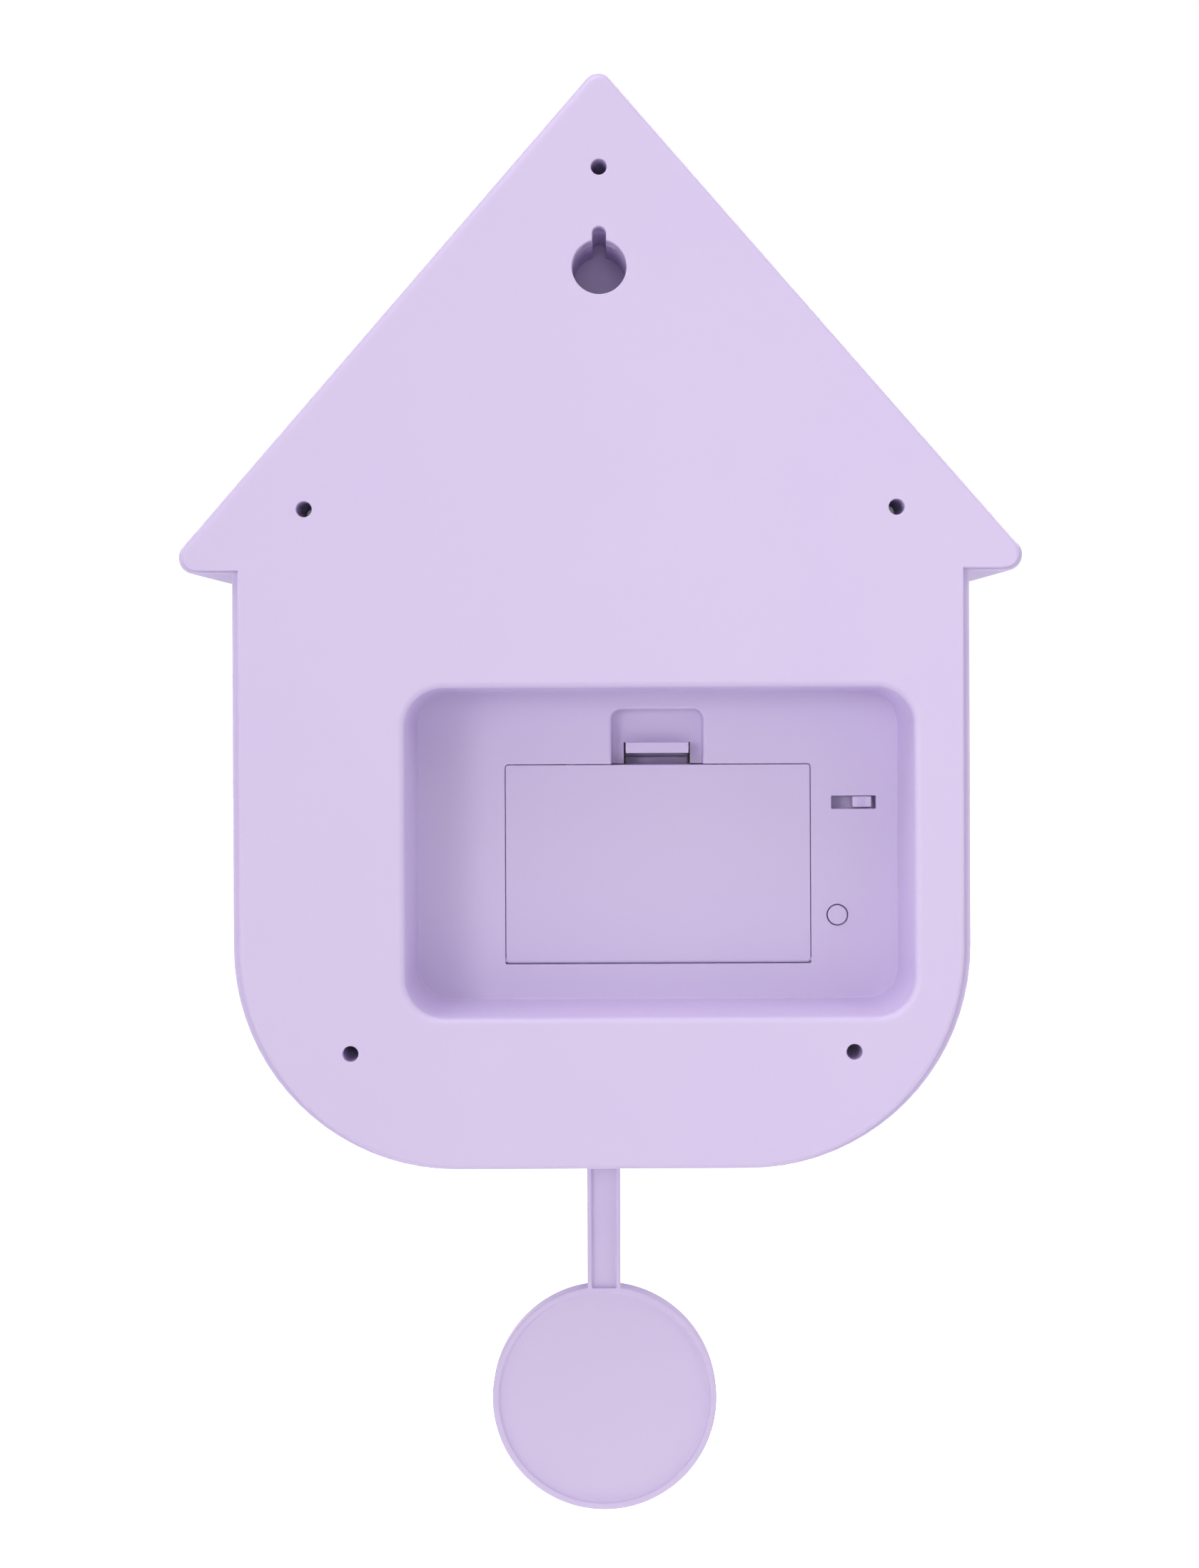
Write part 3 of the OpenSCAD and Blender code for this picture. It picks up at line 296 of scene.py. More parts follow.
def moulded(name, colour, tint, rough, grain=0.02, metal=0.0, coat=0.0, sheen=0.0):
    """Moulded or machined material: soft colour drift, fine surface grain, uneven gloss."""
    mat = bpy.data.materials.new(name)
    mat.use_nodes = True
    tree = mat.node_tree
    shader = tree.nodes["Principled BSDF"]
    place_in = tree.nodes.new("ShaderNodeTexCoord")

    def noise(scale, detail):
        node = tree.nodes.new("ShaderNodeTexNoise")
        node.inputs["Scale"].default_value = scale
        node.inputs["Detail"].default_value = detail
        tree.links.new(place_in.outputs["Object"], node.inputs["Vector"])
        return node.outputs["Fac"]

    drift = tree.nodes.new("ShaderNodeMix")
    drift.data_type = "RGBA"
    drift.inputs["A"].default_value = colour
    drift.inputs["B"].default_value = tint
    tree.links.new(noise(22, 2), drift.inputs["Factor"])
    tree.links.new(drift.outputs["Result"], shader.inputs["Base Color"])

    gloss = tree.nodes.new("ShaderNodeMapRange")
    gloss.inputs["From Min"].default_value = 0.3
    gloss.inputs["From Max"].default_value = 0.7
    gloss.inputs["To Min"].default_value = rough - 0.04
    gloss.inputs["To Max"].default_value = rough + 0.04
    tree.links.new(noise(420, 3), gloss.inputs["Value"])
    tree.links.new(gloss.outputs["Result"], shader.inputs["Roughness"])

    bump = tree.nodes.new("ShaderNodeBump")
    bump.inputs["Strength"].default_value = 0.35
    bump.inputs["Distance"].default_value = grain * MM
    tree.links.new(noise(3600, 2), bump.inputs["Height"])
    tree.links.new(bump.outputs["Normal"], shader.inputs["Normal"])

    shader.inputs["Metallic"].default_value = metal
    shader.inputs["Coat Weight"].default_value = coat
    shader.inputs["Sheen Weight"].default_value = sheen
    shader.inputs["Sheen Roughness"].default_value = 0.5
    shader.inputs["Sheen Tint"].default_value = colour
    return mat


LILAC = moulded("lilac_plastic", linear(204, 189, 225), linear(207, 192, 224), 0.46, sheen=0.3)
PALE = moulded("dial_plastic", linear(236, 230, 243), linear(232, 226, 240), 0.5, 0.015)
WHITE = moulded("white_plastic", linear(240, 239, 236), linear(235, 234, 232), 0.42)
AMBER = moulded("amber_plastic", linear(240, 170, 62), linear(236, 160, 54), 0.38)
BLACK = moulded("black_plastic", linear(28, 28, 31), linear(36, 36, 40), 0.4)
BOARD = moulded("circuit_board", linear(30, 96, 58), linear(24, 84, 52), 0.38, 0.04)
LENS = moulded("smoked_lens", linear(52, 46, 60), linear(60, 52, 70), 0.12, 0.002, coat=0.6)
WRAP = moulded("cell_wrap", linear(46, 48, 56), linear(58, 60, 70), 0.3, 0.004)
LEAD = moulded("lead_wire", linear(176, 42, 40), linear(160, 36, 36), 0.45)
STEEL = moulded("steel", linear(196, 198, 202), linear(182, 184, 190), 0.28, 0.01, metal=1.0)
BRASS = moulded("brass", linear(214, 176, 104), linear(204, 164, 92), 0.3, 0.01, metal=1.0)
COPPER = moulded("copper_wire", linear(196, 116, 74), linear(180, 100, 62), 0.34, 0.05, metal=1.0)

# ---- rear cover ------------------------------------------------------------------------

SHELL_TOP, SHELL_EAVE, SHELL_HALF, SHELL_BOTTOM, SHELL_R = 51.55, -77.0, 93.4, -228.2, 56.3
cover_outline = house(51.1, -76.3, 91.6, -227.7, 55.8)
shell_outline = house(SHELL_TOP, SHELL_EAVE, SHELL_HALF, SHELL_BOTTOM, SHELL_R)
field_outline = house(
    SHELL_TOP - ROOF_RISE * BORDER, SHELL_EAVE + BORDER, SHELL_HALF - BORDER,
    SHELL_BOTTOM + BORDER, SHELL_R - BORDER, 1.6,
)


def keyhole_outline():
    start = math.asin(1.75 / KEYHOLE_R)
    arc = 2 * math.pi - 2 * start
    points = [
        (KEYHOLE_R * math.sin(start + arc * k / 60), KEYHOLE_R * math.cos(start + arc * k / 60))
        for k in range(61)
    ]
    top = 10.2 - 1.75
    turns = [math.pi * k / 16 for k in range(17)]
    return points + [(-1.75 * math.cos(t), top + 1.75 * math.sin(t)) for t in turns]


def make_rear_cover():
    # the roof edges are rounded more than the sides, the eaves' undersides least
    def edge_radius(x, z):
        if z > -70:
            return 1.9
        if z > -76 and abs(x) > 95:
            return 1.9 - 1.5 * min(1, (-70 - z) / 5)
        return 0.35 if z > -77 else 1.1

    softness = [edge_radius(x, z) for x, z in cover_outline]
    rings = []
    for k in range(8):
        t = math.pi / 2 * k / 7
        rings.append((
            grown(cover_outline, [-r * (1 - math.sin(t)) for r in softness]),
            [-r * (1 - math.cos(t)) for r in softness],
        ))
    cover = loft(rings + [(cover_outline, -COVER_T)])

    px, pz, pw, ph, pr = POCKET
    pocket = box(px, pz, pw, ph, pr, 14)
    inside = -COVER_T + 0.5
    recess_left, recess_right = LATCH_X - RECESS_W / 2, LATCH_X + RECESS_W / 2
    rim = prism(grown(shell_outline, -WALL - 0.25), inside, -7)
    cut(rim, prism(grown(shell_outline, -WALL - 1.75), 0, -8))
    add(
        cover,
        rim,
        prism(grown(pocket, MOUTH + 1), inside, FLOOR_BACK),
        prism(circle(0, 0, KEYHOLE_R + 1.8), inside, -27.5),
        prism(span(-6, 6, 0, 14.2), inside, -27.6),
        prism(
            span(recess_left - 1.5, recess_right + 1.5, BAY_TOP, RECESS_TOP + 1.5, 2),
            FLOOR_BACK + 1, RECESS_BACK - 1.5,
        ),
        *[prism(circle(x, z, 4.0, 40), inside, -24.5) for x, z in SCREWS],
        *[prism(circle(x, -152, 1.8, 24), FLOOR_BACK + 1, -34) for x in (-73.5, -59.5)],
        *[
            prism(circle(x, z, 2.5, 24), inside, -30)
            for x, z in ((-29, -67), (29, -67), (-29, -95), (29, -95))
        ],
        *[prism(circle(x, -210, 3, 24), inside, -20) for x in (-12, 12)],
    )
    recess = rounded([
        (recess_left, BAY_TOP - 1.5, 0), (recess_right, BAY_TOP - 1.5, 0),
        (recess_right, RECESS_TOP, 2.4), (recess_left, RECESS_TOP, 2.4),
    ], 8)
    # the lower corners are sharper, to clear the cover as it opens
    bay = rounded([
        (BAY_LEFT, BAY_BOTTOM, 0.4), (BAY_RIGHT, BAY_BOTTOM, 0.4),
        (BAY_RIGHT, BAY_TOP, 0.9), (BAY_LEFT, BAY_TOP, 0.9),
    ], 6)
    gate = span(LATCH_LEFT - 0.5, LATCH_RIGHT + 0.5, BAY_TOP - 1.2, GATE_TOP)
    bx, bz, br = BUTTON
    cut(
        cover,
        pit(grown(pocket, MOUTH - 1.7), 0, FLOOR_Y, 1.7, 0.25, steps=8, draft=MOUTH - 1.8),
        pit(keyhole_outline(), 0, -26, 0.35, 0.3),
        prism(span(-4, 4, 1, 8.45), -3, -7.5),
        prism(circle(0, 8.45, 4, 40), -3.001, -7.501),
        *[pit(circle(x, z, 2.0, 40), 0, -23, 0.3, 0.2) for x, z in SCREWS],
        pit(bay, FLOOR_Y, FLOOR_BACK - 1, 0.12),
        pit(recess, FLOOR_Y, RECESS_BACK, 0.8, 0.5, steps=6),
        prism(gate, FLOOR_Y + 1, RECESS_BACK - 3),
        pit(box(*SWITCH, 0.3, 3), FLOOR_Y, FLOOR_BACK - 1, 0.12),
        pit(circle(bx, bz, br + 0.3, 48), FLOOR_Y, FLOOR_BACK - 1, 0.15),
        prism(circle(HINGE_Y, HINGE_Z, STUB_R + 0.06, 24), BAY_LEFT - 1, BAY_RIGHT + 1, axis="x"),
    )
    finish_piece(
        cover, "rear_cover_moulding", "case", LILAC, "rear_cover", slot="lilac_plastic"
    )


make_rear_cover()

# ---- front shell -------------------------------------------------------------------------


def door_outline(clear=0.0):
    """The arched doorway, or the door that leaves a gap all round."""
    half = DOOR_HALF - clear
    turns = [math.pi * k / 40 for k in range(41)]
    points = [(half * math.cos(t), ARCH_Z + half * math.sin(t)) for t in turns]
    return points + [(-half, SILL_Z + clear), (half, SILL_Z + clear)]


def make_front_shell():
    shell = prism(shell_outline, -2.6, -CASE_DEPTH, 0.5, 1.4, steps=6)
    cut(
        shell,
        prism(grown(shell_outline, -WALL), 0, INNER_Y - 0.05),
        pit(field_outline, -CASE_DEPTH, FIELD_Y, 0.6, 0.3),
    )
    boss_turns = [math.radians(d) for d in (90, 210, 330)]
    dial_bosses = [(60.5 * math.cos(a), DIAL_Z + 60.5 * math.sin(a)) for a in boss_turns]
    ring = prism(circle(0, SPEAKER_Z, 16.3), INNER_Y + 3, INNER_Y - 0.5)
    cut(ring, prism(circle(0, SPEAKER_Z, 14.7), INNER_Y + 4, INNER_Y - 1))
    add(
        shell,
        ring,
        prism(circle(0, DIAL_Z, DIAL_R + 2.5, 120), DIAL_Y, INNER_Y - 0.5),
        *[prism(circle(x, z, 3.6, 32), -24.6, INNER_Y - 0.5) for x, z in SCREWS],
        *[prism(circle(x, z, 3, 32), DIAL_Y, INNER_Y - 0.5) for x, z in dial_bosses],
        *[prism(circle(x, -57.5, 3, 32), -60, INNER_Y - 0.5) for x in (-27, 27)],
    )
    rows = [(4.2 * n, math.radians(i * 60 / n)) for n in (1, 2) for i in range(6 * n)]
    holes = [(0, SPEAKER_Z)] + [(r * math.cos(a), SPEAKER_Z + r * math.sin(a)) for r, a in rows]
    cut(
        shell,
        prism(circle(0, DIAL_Z, DIAL_R, 120), -20, -CASE_DEPTH - 1),
        pit(door_outline(), FIELD_Y, -60, 0.35),
        *[pit(circle(x, z, 0.9, 20), FIELD_Y, -60, 0.15, steps=2) for x, z in holes],
        pit(circle(0, SENSOR_Z, 2.25, 32), FIELD_Y, -60, 0.2, steps=3),
        prism(span(-11, 11, -37, -24, 1.5), -240, -218, axis="z"),
    )
    finish_piece(
        shell, "front_shell_moulding", "case", LILAC, "front_shell", slot="lilac_plastic"
    )


make_front_shell()

# ---- dial and hands ----------------------------------------------------------------------


def turned(profile, a, b, steps=96):
    """A ring turned round the Y axis at (a, b) from a closed profile of (radius, y)."""
    bm = bmesh.new()
    loops = []
    for k in range(steps):
        t = 2 * math.pi * k / steps
        c, s = math.cos(t), math.sin(t)
        loops.append([bm.verts.new(place(a + r * c, b + r * s, y, "y")) for r, y in profile])
    for k in range(steps):
        for i in range(len(profile)):
            low, high = loops[k - 1], loops[k]
            bm.faces.new((low[i - 1], low[i], high[i], high[i - 1]))
    bmesh.ops.recalc_face_normals(bm, faces=bm.faces)
    return to_object("ring", bm)


bezel_profile = rounded([
    (52.8, FIELD_Y, 0.1), (57, FIELD_Y, 0.1), (57, -69.4, 0.4),
    (55.9, -70, 0.5), (54, -70, 0.5), (52.8, -69.5, 0.4),
], 5)
bezel = turned(bezel_profile, 0, DIAL_Z, 128)
finish_piece(bezel, "dial_bezel_ring", "case", PALE, "dial_bezel", slot="dial_plastic")

dial = prism(circle(0, DIAL_Z, DIAL_R + 2.5, 120), DIAL_BACK, DIAL_Y)
cut(dial, prism(circle(0, DIAL_Z, 4.05, 48), -50, -70))
for radius, width, depth in ((44.2, 0.5, 0.18), (53.0, 0.4, 0.15), (22.0, 0.35, 0.12)):
    inner, outer = radius - width / 2, radius + width / 2
    groove = [
        (inner, DIAL_Y - 0.5), (outer, DIAL_Y - 0.5), (outer, DIAL_Y + depth * 0.4),
        (radius, DIAL_Y + depth), (inner, DIAL_Y + depth * 0.4),
    ]
    cut(dial, turned(groove, 0, DIAL_Z, 120))
finish_piece(dial, "dial_face", "case", PALE, "dial_plate", slot="dial_plastic")


def make_markers():
    markers = None
    for n in range(60):
        a = math.radians(6 * n)
        if n % 5 == 0:
            w = 3.2 if n % 15 == 0 else 2.0
            bar = box(48.5, 0, 5, w, min(w / 2 - 0.05, 0.95), 6)
            top = 0.8
        else:
            bar = circle(48.5, 0, 0.42, 16)
            top = 0.4
        c, s = math.cos(a), math.sin(a)
        turned_bar = [(x * c - z * s, DIAL_Z + x * s + z * c) for x, z in bar]
        piece = prism(turned_bar, DIAL_Y, DIAL_Y - top, 0, 0.25 if top > 0.5 else 0.15, steps=4)
        if markers is None:
            markers = piece
            continue
        bm = bmesh.new()
        bm.from_mesh(markers.data)
        bm.from_mesh(piece.data)
        bm.to_mesh(markers.data)
        bm.free()
        bpy.data.objects.remove(piece)
    finish_piece(
        markers, "dial_markers", "case", LILAC, "hour_markers", slot="white_plastic"
    )


make_markers()


def hand_outline(length, tail, width, angle):
    """A tapered blade, turned clockwise from twelve as the front shows it."""
    w = width / 2
    blade = rounded([
        (-w * 0.75, -tail, w * 0.6), (w * 0.75, -tail, w * 0.6), (w, 0, 0),
        (w * 0.62, length - 1.5, 0.5), (0, length, 0.5), (-w * 0.62, length - 1.5, 0.5),
        (-w, 0, 0),
    ], 5)
    c, s = math.cos(math.radians(angle)), math.sin(math.radians(angle))
    return [(x * c + z * s, DIAL_Z - x * s + z * c) for x, z in blade]


def make_hand(name, body, node, y0, y1, bore, hub, *size):
    """A hand between two levels: the radii of its bore and hub, then its outline's sizes."""
    blade = hand_outline(*size)
    hand = prism(blade, y0, y1, 0.1, 0.22, steps=4)
    add(hand, prism(circle(0, DIAL_Z, hub, 48), y0 + 0.002, y1 - 0.002, 0.12, 0.3, steps=4))
    cut(hand, prism(circle(0, DIAL_Z, bore, 40), -50, -72))
    finish_piece(hand, name, body, LILAC, node, slot="white_plastic")


make_hand("hour_hand_blade", "hour_works", "hour_hand", -65.4, -66.4, 2.6, 4.6, 29, 7, 4.4, -55)
make_hand(
    "minute_hand_blade", "minute_works", "minute_hand", -67.4, -68.4, 1.5, 3.8, 42, 9, 3.4, 60
)
cap = prism(circle(0, DIAL_Z, 2.6, 48), -68.41, -69.8, 0.1, 0.7, steps=6)
finish_piece(cap, "hand_cap_dome", "minute_works", LILAC, "hand_cap", slot="white_plastic")

lens = prism(circle(0, SENSOR_Z, 2.2, 40), -65.8, -68.9, 0, 0.4)
finish_piece(lens, "sensor_window", "case", LENS, "sensor_lens", slot="smoked_lens")

# ---- door --------------------------------------------------------------------------------


def make_door():
    axis_x, axis_y, barrel = -16.0, -67.25, 1.25
    door = prism(door_outline(0.35), INNER_Y, FIELD_Y, 0.2, 0.45)
    cut(door, prism(span(-20, axis_x, -80, 0), -60, -75))
    cut(door, prism(span(-20, axis_x + barrel + 0.3, ARCH_Z - 1, 0), -60, -75.1))
    barrel_round = circle(axis_x, axis_y, barrel, 32)
    add(door, prism(barrel_round, SILL_Z + 0.35, ARCH_Z - 1.003, 0.1, 0.1, axis="z"))
    # a shallow line follows the arch, and a turned pull stands by the free edge
    line = prism(door_outline(3.2), -68.2, -70)
    cut(line, prism(door_outline(3.9), -67, -71))
    cut(line, prism(span(-20, axis_x + 3, -80, 0), -60, -75))
    cut(door, line)
    knob = [
        (0.01, -68.0), (1.25, -68.0), (0.95, -68.7), (1.1, -69.1),
        (1.75, -69.5), (1.6, -69.95), (0.8, -70.08), (0.01, -70.1),
    ]
    add(door, turned(knob, DOOR_HALF - 5, (SILL_Z + ARCH_Z) / 2, 40))
    cut(door, prism(circle(axis_x, axis_y, 0.65, 24), -60, -10, axis="z"))
    finish_piece(door, "door_leaf", "door", LILAC, "door", slot="lilac_plastic")


make_door()

# ---- pendulum ------------------------------------------------------------------------------


def make_pendulum():
    back, floor_of_hollow = PENDULUM_Y, PENDULUM_Y - 1.2
    rod_bar = span(-ROD_W / 2, ROD_W / 2, DISC_Z, PIVOT_Z)
    channel = span(-3.2, 3.2, DISC_Z + DISC_R - 0.6, PIVOT_Z - 8, 0.4)
    rod = prism(rod_bar, back, back - 5, 0.45, 0.8)
    add(
        rod,
        prism(circle(0, PIVOT_Z, 4.9, 48), back + 0.001, back - 5.001, 0.4, 0.8),
        prism(circle(0, DISC_Z, DISC_R, 128), back + 0.003, back - 6, 0.55, 1.6, steps=7),
    )
    cut(
        rod,
        pit(circle(0, DISC_Z, DISC_R - 1.7, 128), back, floor_of_hollow, 0.35, 0.8, steps=7),
        pit(channel, back, floor_of_hollow, 0.3, 0.4),
        prism(circle(0, PIVOT_Z, 1.55, 32), -20, -40),
    )
    finish_piece(
        rod, "pendulum_moulding", "pendulum", LILAC, "pendulum", slot="lilac_plastic"
    )


make_pendulum()

# ---- battery cover, latch, switch and button --------------------------------------------------


def bend_half(side):
    """Half of the latch's U bend: side -1 is the lower half, +1 the upper one."""
    points = []
    for r in (BEND_R, BEND_R - LATCH_T):
        ring = []
        for k in range(15):
            t = math.radians(90 * k / 14)
            ring.append((BEND_Y - r * math.sin(t), BEND_Z + side * max(r * math.cos(t), 0.15)))
        points += ring if r == BEND_R else ring[::-1]
    return prism(points, LATCH_LEFT, LATCH_RIGHT, axis="x")


def make_battery_cover():
    half = BAY_W / 2 - 0.2
    left, right, top = BAY_X - half, BAY_X + half, BAY_TOP - 0.2
    corners = [(left, HINGE_Z, 0), (right, HINGE_Z, 0), (right, top, 0.7), (left, top, 0.7)]
    arm = span(FLOOR_Y - 1.3, BEND_Y, BEND_Z - BEND_R, BEND_Z - BEND_R + LATCH_T)
    barrel = circle(HINGE_Y, HINGE_Z, HINGE_R, 48)
    stubs = circle(HINGE_Y, HINGE_Z, STUB_R, 24)
    plate = prism(rounded(corners, 6), FLOOR_Y, FLOOR_Y - 1.8, 0.22, 0.15)
    add(
        plate,
        prism(barrel, left + 0.4, right - 0.4, 0.1, 0.1, axis="x"),
        prism(stubs, BAY_LEFT - 0.8, BAY_RIGHT + 0.8, axis="x"),
        prism(arm, LATCH_LEFT, LATCH_RIGHT, axis="x"),
    )
    add(plate, bend_half(-1))
    finish_piece(
        plate, "battery_cover_moulding", "battery_cover", LILAC, "battery_cover",
        slot="lilac_plastic",
    )


def make_latch():
    leg = BEND_Z + BEND_R
    bar = span(FLOOR_Y - 1.9, FLOOR_Y - 0.4, -123.6, -120.7, 0.25)
    upper_arm = span(BEND_Y, FLOOR_Y - 0.4, leg - LATCH_T, leg)
    latch = prism(upper_arm, LATCH_LEFT, LATCH_RIGHT, axis="x")
    add(
        latch,
        prism(bar, LATCH_LEFT + 0.003, LATCH_RIGHT - 0.003, 0.2, 0.2, axis="x"),
        bend_half(1),
    )
    finish_piece(
        latch, "cover_latch_tab", "cover_latch", LILAC, "cover_latch", slot="lilac_plastic"
    )


make_battery_cover()
make_latch()

kx, kz, kw, kh = KNOB
knob = prism(box(kx, kz, kw, kh, 0.3, 5), FLOOR_Y + 0.1, -30.6, 0.22)
for shift in (-0.8, 0, 0.8):
    line = span(kx + shift - 0.12, kx + shift + 0.12, kz - kh, kz + kh)
    cut(knob, prism(line, FLOOR_Y + 1, FLOOR_Y - 0.08))
finish_piece(knob, "switch_slider", "switch_knob", LILAC, "switch_knob", slot="lilac_plastic")

button = prism(circle(*BUTTON, 64), FLOOR_Y + 0.6, -30.6, 0.35, 0, steps=6)
add(button, prism(circle(*BUTTON[:2], 3.4, 48), -29.8, -30.601))
finish_piece(button, "set_button_cap", "set_button", LILAC, "button_cap", slot="lilac_plastic")

# ---- bird ----------------------------------------------------------------------------------


def ellipsoid(centre, radii, tilt=0.0, steps=40):
    bm = bmesh.new()
    bmesh.ops.create_uvsphere(bm, u_segments=steps, v_segments=steps // 2, radius=1.0)
    turn = Matrix.Rotation(math.radians(tilt), 4, "X")
    for v in bm.verts:
        v.co = (turn @ Vector([c * r for c, r in zip(v.co, radii)]) + Vector(centre)) * MM
    return to_object("ball", bm)


def make_bird():
    head, foot = (0, -51, -24.5), -46.9
    body = ellipsoid((0, -43, -34), (8.4, 12.4, 8.4), -22)
    feathers = rounded([(-2.6, -2, 1), (2.6, -2, 1), (4.8, 9.3, 1.4), (-4.8, 9.3, 1.4)], 5)
    tail = prism(feathers, -1.0, 1.0, 0.3, 0.3, axis="z")
    lift = Matrix.Rotation(math.radians(28), 4, "X")
    for v in tail.data.vertices:
        v.co = lift @ v.co + Vector((0, -34, -36)) * MM
    add(
        body,
        ellipsoid(head, (7, 7, 7)),
        tail,
        prism(circle(0, -43, 2.4, 32), foot, -38, axis="z"),
    )
    shape = body.modifiers.new("blend", "REMESH")
    shape.mode = "VOXEL"
    shape.voxel_size = 0.38 * MM
    soft = body.modifiers.new("soft", "SMOOTH")
    soft.factor = 0.5
    soft.iterations = 9
    bake_modifiers(body)
    # the stem's foot keeps its height on the carriage
    for v in body.data.vertices:
        v.co.z = max(v.co.z, foot * MM)
    finish_piece(body, "bird_figure", "bird", WHITE, "bird_body", sharp=60, slot="white_plastic")

    for side, name in ((1, "left"), (-1, "right")):
        outline = rounded([
            (-49.3, -29.8, 2.6), (-49.0, -36.8, 2.4), (-33.4, -35.2, 1.4), (-35.2, -32.4, 1.2),
        ], 7)
        wing = prism(outline, side * 7.1, side * 8.9, 0, 0.8, axis="x", steps=5)
        for z in (-33.4, -35.0):
            cut(wing, prism(span(-45, -33, z, z + 0.22), side * 8.75, side * 9.2, axis="x"))
        finish_piece(wing, f"bird_wing_{name}", "bird", PALE, "bird_wings", slot="dial_plastic")

        eye = ellipsoid((0, 0, 0), (1.05, 1.05, 0.8), 0, 24)
        aim = (
            Matrix.Rotation(math.radians(side * 42), 4, "Z")
            @ Matrix.Rotation(math.radians(98), 4, "X")
        )
        for v in eye.data.vertices:
            v.co = aim @ (v.co + Vector((0, 2.5, 5.95)) * MM) + Vector(head) * MM
        finish_piece(
            eye, f"bird_eye_{name}", "bird", BLACK, "bird_eyes", sharp=80, slot="black_plastic"
        )

    rings = []
    for k in range(11):
        radius = max(2.6 * (1 - (k / 10) ** 1.5), 0.22)
        rings.append((circle(0, head[2] - 0.03 * k, radius, 28), -56.6 - 6.4 * k / 10))
    bill = loft(rings)
    finish_piece(bill, "bird_bill", "bird", AMBER, "bird_beak", sharp=60, slot="amber_plastic")


make_bird()

# ---- inner nodes ------------------------------------------------------------------------------

INNER = {
    STEEL: (
        "case_screws dial_screws motor_stator rail_screws bird_motor door_hinge_pin "
        "pendulum_magnet pendulum_pin speaker_magnet board_screws contact_plates contact_springs"
    ),
    BRASS: "movement_nut centre_wheel third_wheel minute_wheel hour_wheel drive_pinion",
    COPPER: "motor_coil pendulum_coil",
    WHITE: (
        "movement_base movement_lid bird_carriage guide_rail pendulum_bracket tact_plunger "
        "battery_tray"
    ),
    BOARD: "movement_board main_board control_board",
    LILAC: "switch_body",
    BLACK: "motor_rotor speaker_frame speaker_cone sound_chip tact_switch light_sensor capacitor",
    WRAP: "battery_cells",
    LEAD: "leads",
}
for material, names in INNER.items():
    for name in names.split():
        obj = nodes[name]
        obj.data.materials.clear()
        obj.data.materials.append(material)

# ---- studio and camera -------------------------------------------------------------------------


def softbox(name, where, at, size, power, spread=180):
    """A soft area light in metres, watts and degrees."""
    lamp = bpy.data.lights.new(name, "AREA")
    lamp.shape = "RECTANGLE"
    lamp.size, lamp.size_y = size
    lamp.energy = power
    lamp.spread = math.radians(spread)
    obj = bpy.data.objects.new(name, lamp)
    bpy.context.scene.collection.objects.link(obj)
    obj.location = where
    obj.rotation_euler = (Vector(at) - Vector(where)).to_track_quat("-Z", "Y").to_euler()


middle = (0, 0, -0.13)
softbox("top_key", (0.4, 0.4, 1.3), middle, (1.2, 0.8), 14.3)
softbox("side_graze", (-1.1, 0.25, -0.1), middle, (0.8, 1.2), 2.8)
softbox("side_top", (-0.9, 0.8, 0.8), middle, (0.8, 0.8), 3.8)
softbox("side_low", (1.1, 0.5, -0.1), middle, (0.8, 1.2), 2.6)
softbox("rear_near", (-0.05, 1.3, 0.05), middle, (0.35, 0.35), 1.6)
softbox("rear_key", (0.6, 1.4, 0.1), (-0.32, 0, -0.1), (0.8, 0.8), 0.62, 36)
softbox("front_key", (-0.8, -1.1, 0.7), middle, (0.8, 0.8), 12)
softbox("front_low", (0.9, -1.2, 0.1), middle, (0.9, 0.9), 6)

world = bpy.data.worlds.new("studio")
world.use_nodes = True
tree = world.node_tree
glow = tree.nodes["Background"]
glow.inputs["Color"].default_value = (1, 1, 1, 1)
glow.inputs["Strength"].default_value = 0.25
white = tree.nodes.new("ShaderNodeBackground")
white.inputs["Color"].default_value = (1, 1, 1, 1)
white.inputs["Strength"].default_value = 1.05
path = tree.nodes.new("ShaderNodeLightPath")
mix = tree.nodes.new("ShaderNodeMixShader")
tree.links.new(path.outputs["Is Camera Ray"], mix.inputs["Fac"])
tree.links.new(glow.outputs["Background"], mix.inputs[1])
tree.links.new(white.outputs["Background"], mix.inputs[2])
tree.links.new(mix.outputs["Shader"], tree.nodes["World Output"].inputs["Surface"])
bpy.context.scene.world = world

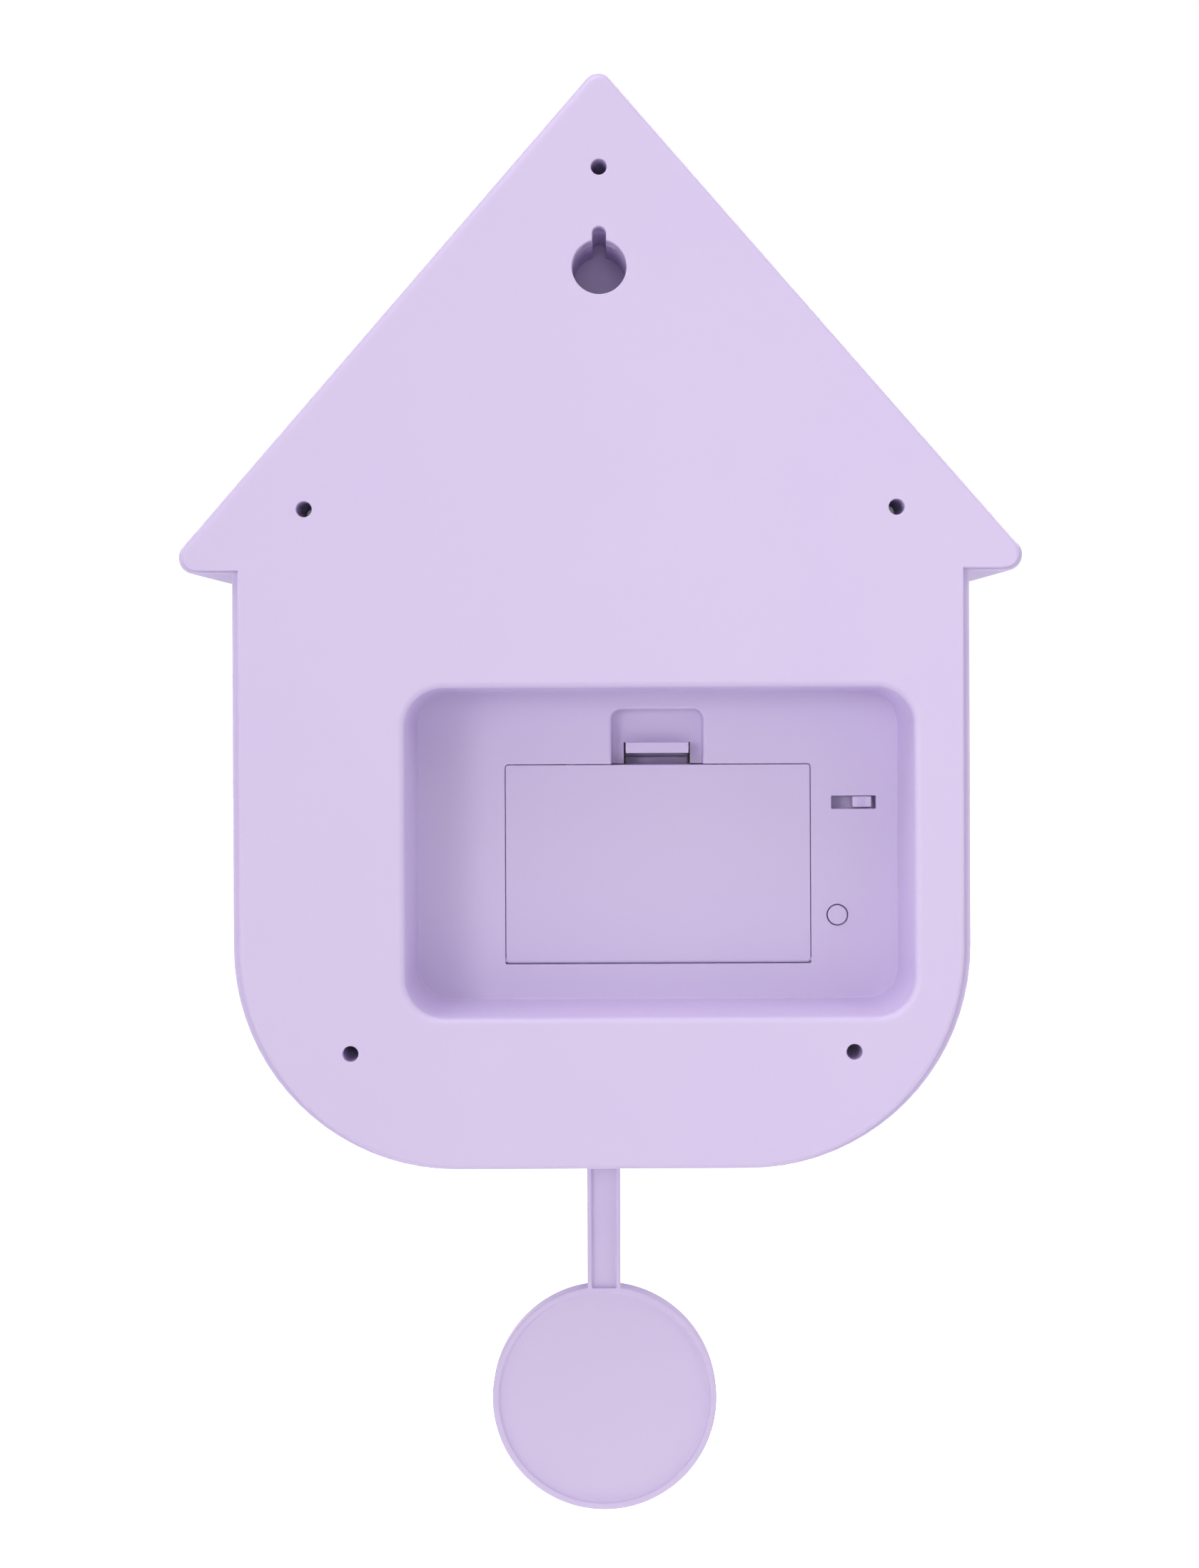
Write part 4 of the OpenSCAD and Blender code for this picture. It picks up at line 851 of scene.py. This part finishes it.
floor_mesh = bmesh.new()
bmesh.ops.create_circle(floor_mesh, cap_ends=True, segments=96, radius=6.0)
floor = to_object("floor", floor_mesh)
floor.location.z = -0.42
paper = bpy.data.materials.new("floor_paper")
paper.use_nodes = True
surface = paper.node_tree.nodes["Principled BSDF"]
surface.inputs["Base Color"].default_value = (0.93, 0.93, 0.94, 1)
surface.inputs["Roughness"].default_value = 0.9
surface.inputs["Emission Color"].default_value = (1, 1, 1, 1)
seen = paper.node_tree.nodes.new("ShaderNodeLightPath")
lift = paper.node_tree.nodes.new("ShaderNodeMath")
lift.operation = "MULTIPLY"
lift.inputs[1].default_value = 1.2
paper.node_tree.links.new(seen.outputs["Is Camera Ray"], lift.inputs[0])
paper.node_tree.links.new(lift.outputs["Value"], surface.inputs["Emission Strength"])
# the underside of the floor is clear, so the clock can be seen from below
links, out = paper.node_tree.links, paper.node_tree.nodes["Material Output"]
side = paper.node_tree.nodes.new("ShaderNodeNewGeometry")
clear = paper.node_tree.nodes.new("ShaderNodeBsdfTransparent")
choice = paper.node_tree.nodes.new("ShaderNodeMixShader")
links.new(side.outputs["Backfacing"], choice.inputs["Fac"])
links.new(surface.outputs["BSDF"], choice.inputs[1])
links.new(clear.outputs["BSDF"], choice.inputs[2])
links.new(choice.outputs["Shader"], out.inputs["Surface"])
floor.data.materials.append(paper)

scene = bpy.context.scene
scene.view_settings.view_transform = "Standard"
scene.cycles.max_bounces = 10
scene.cycles.diffuse_bounces = 6

# the lens looks square at the rear face
REACH, FRAME_H = 0.6, 0.39546
eye = bpy.data.cameras.new("camera")
eye.sensor_width = 36
eye.lens = 36 * REACH / FRAME_H
eye.shift_x = -0.0091
eye.shift_y = -0.06532
eye.clip_start = 0.01
camera = bpy.data.objects.new("camera", eye)
scene.collection.objects.link(camera)
camera.matrix_world = (
    Matrix.Translation((-0.00324, REACH, -0.1047))
    @ Matrix.Rotation(math.pi, 4, "Z")
    @ Matrix.Rotation(math.pi / 2, 4, "X")
    @ Matrix.Rotation(math.radians(-0.25), 4, "Z")
)
scene.camera = camera
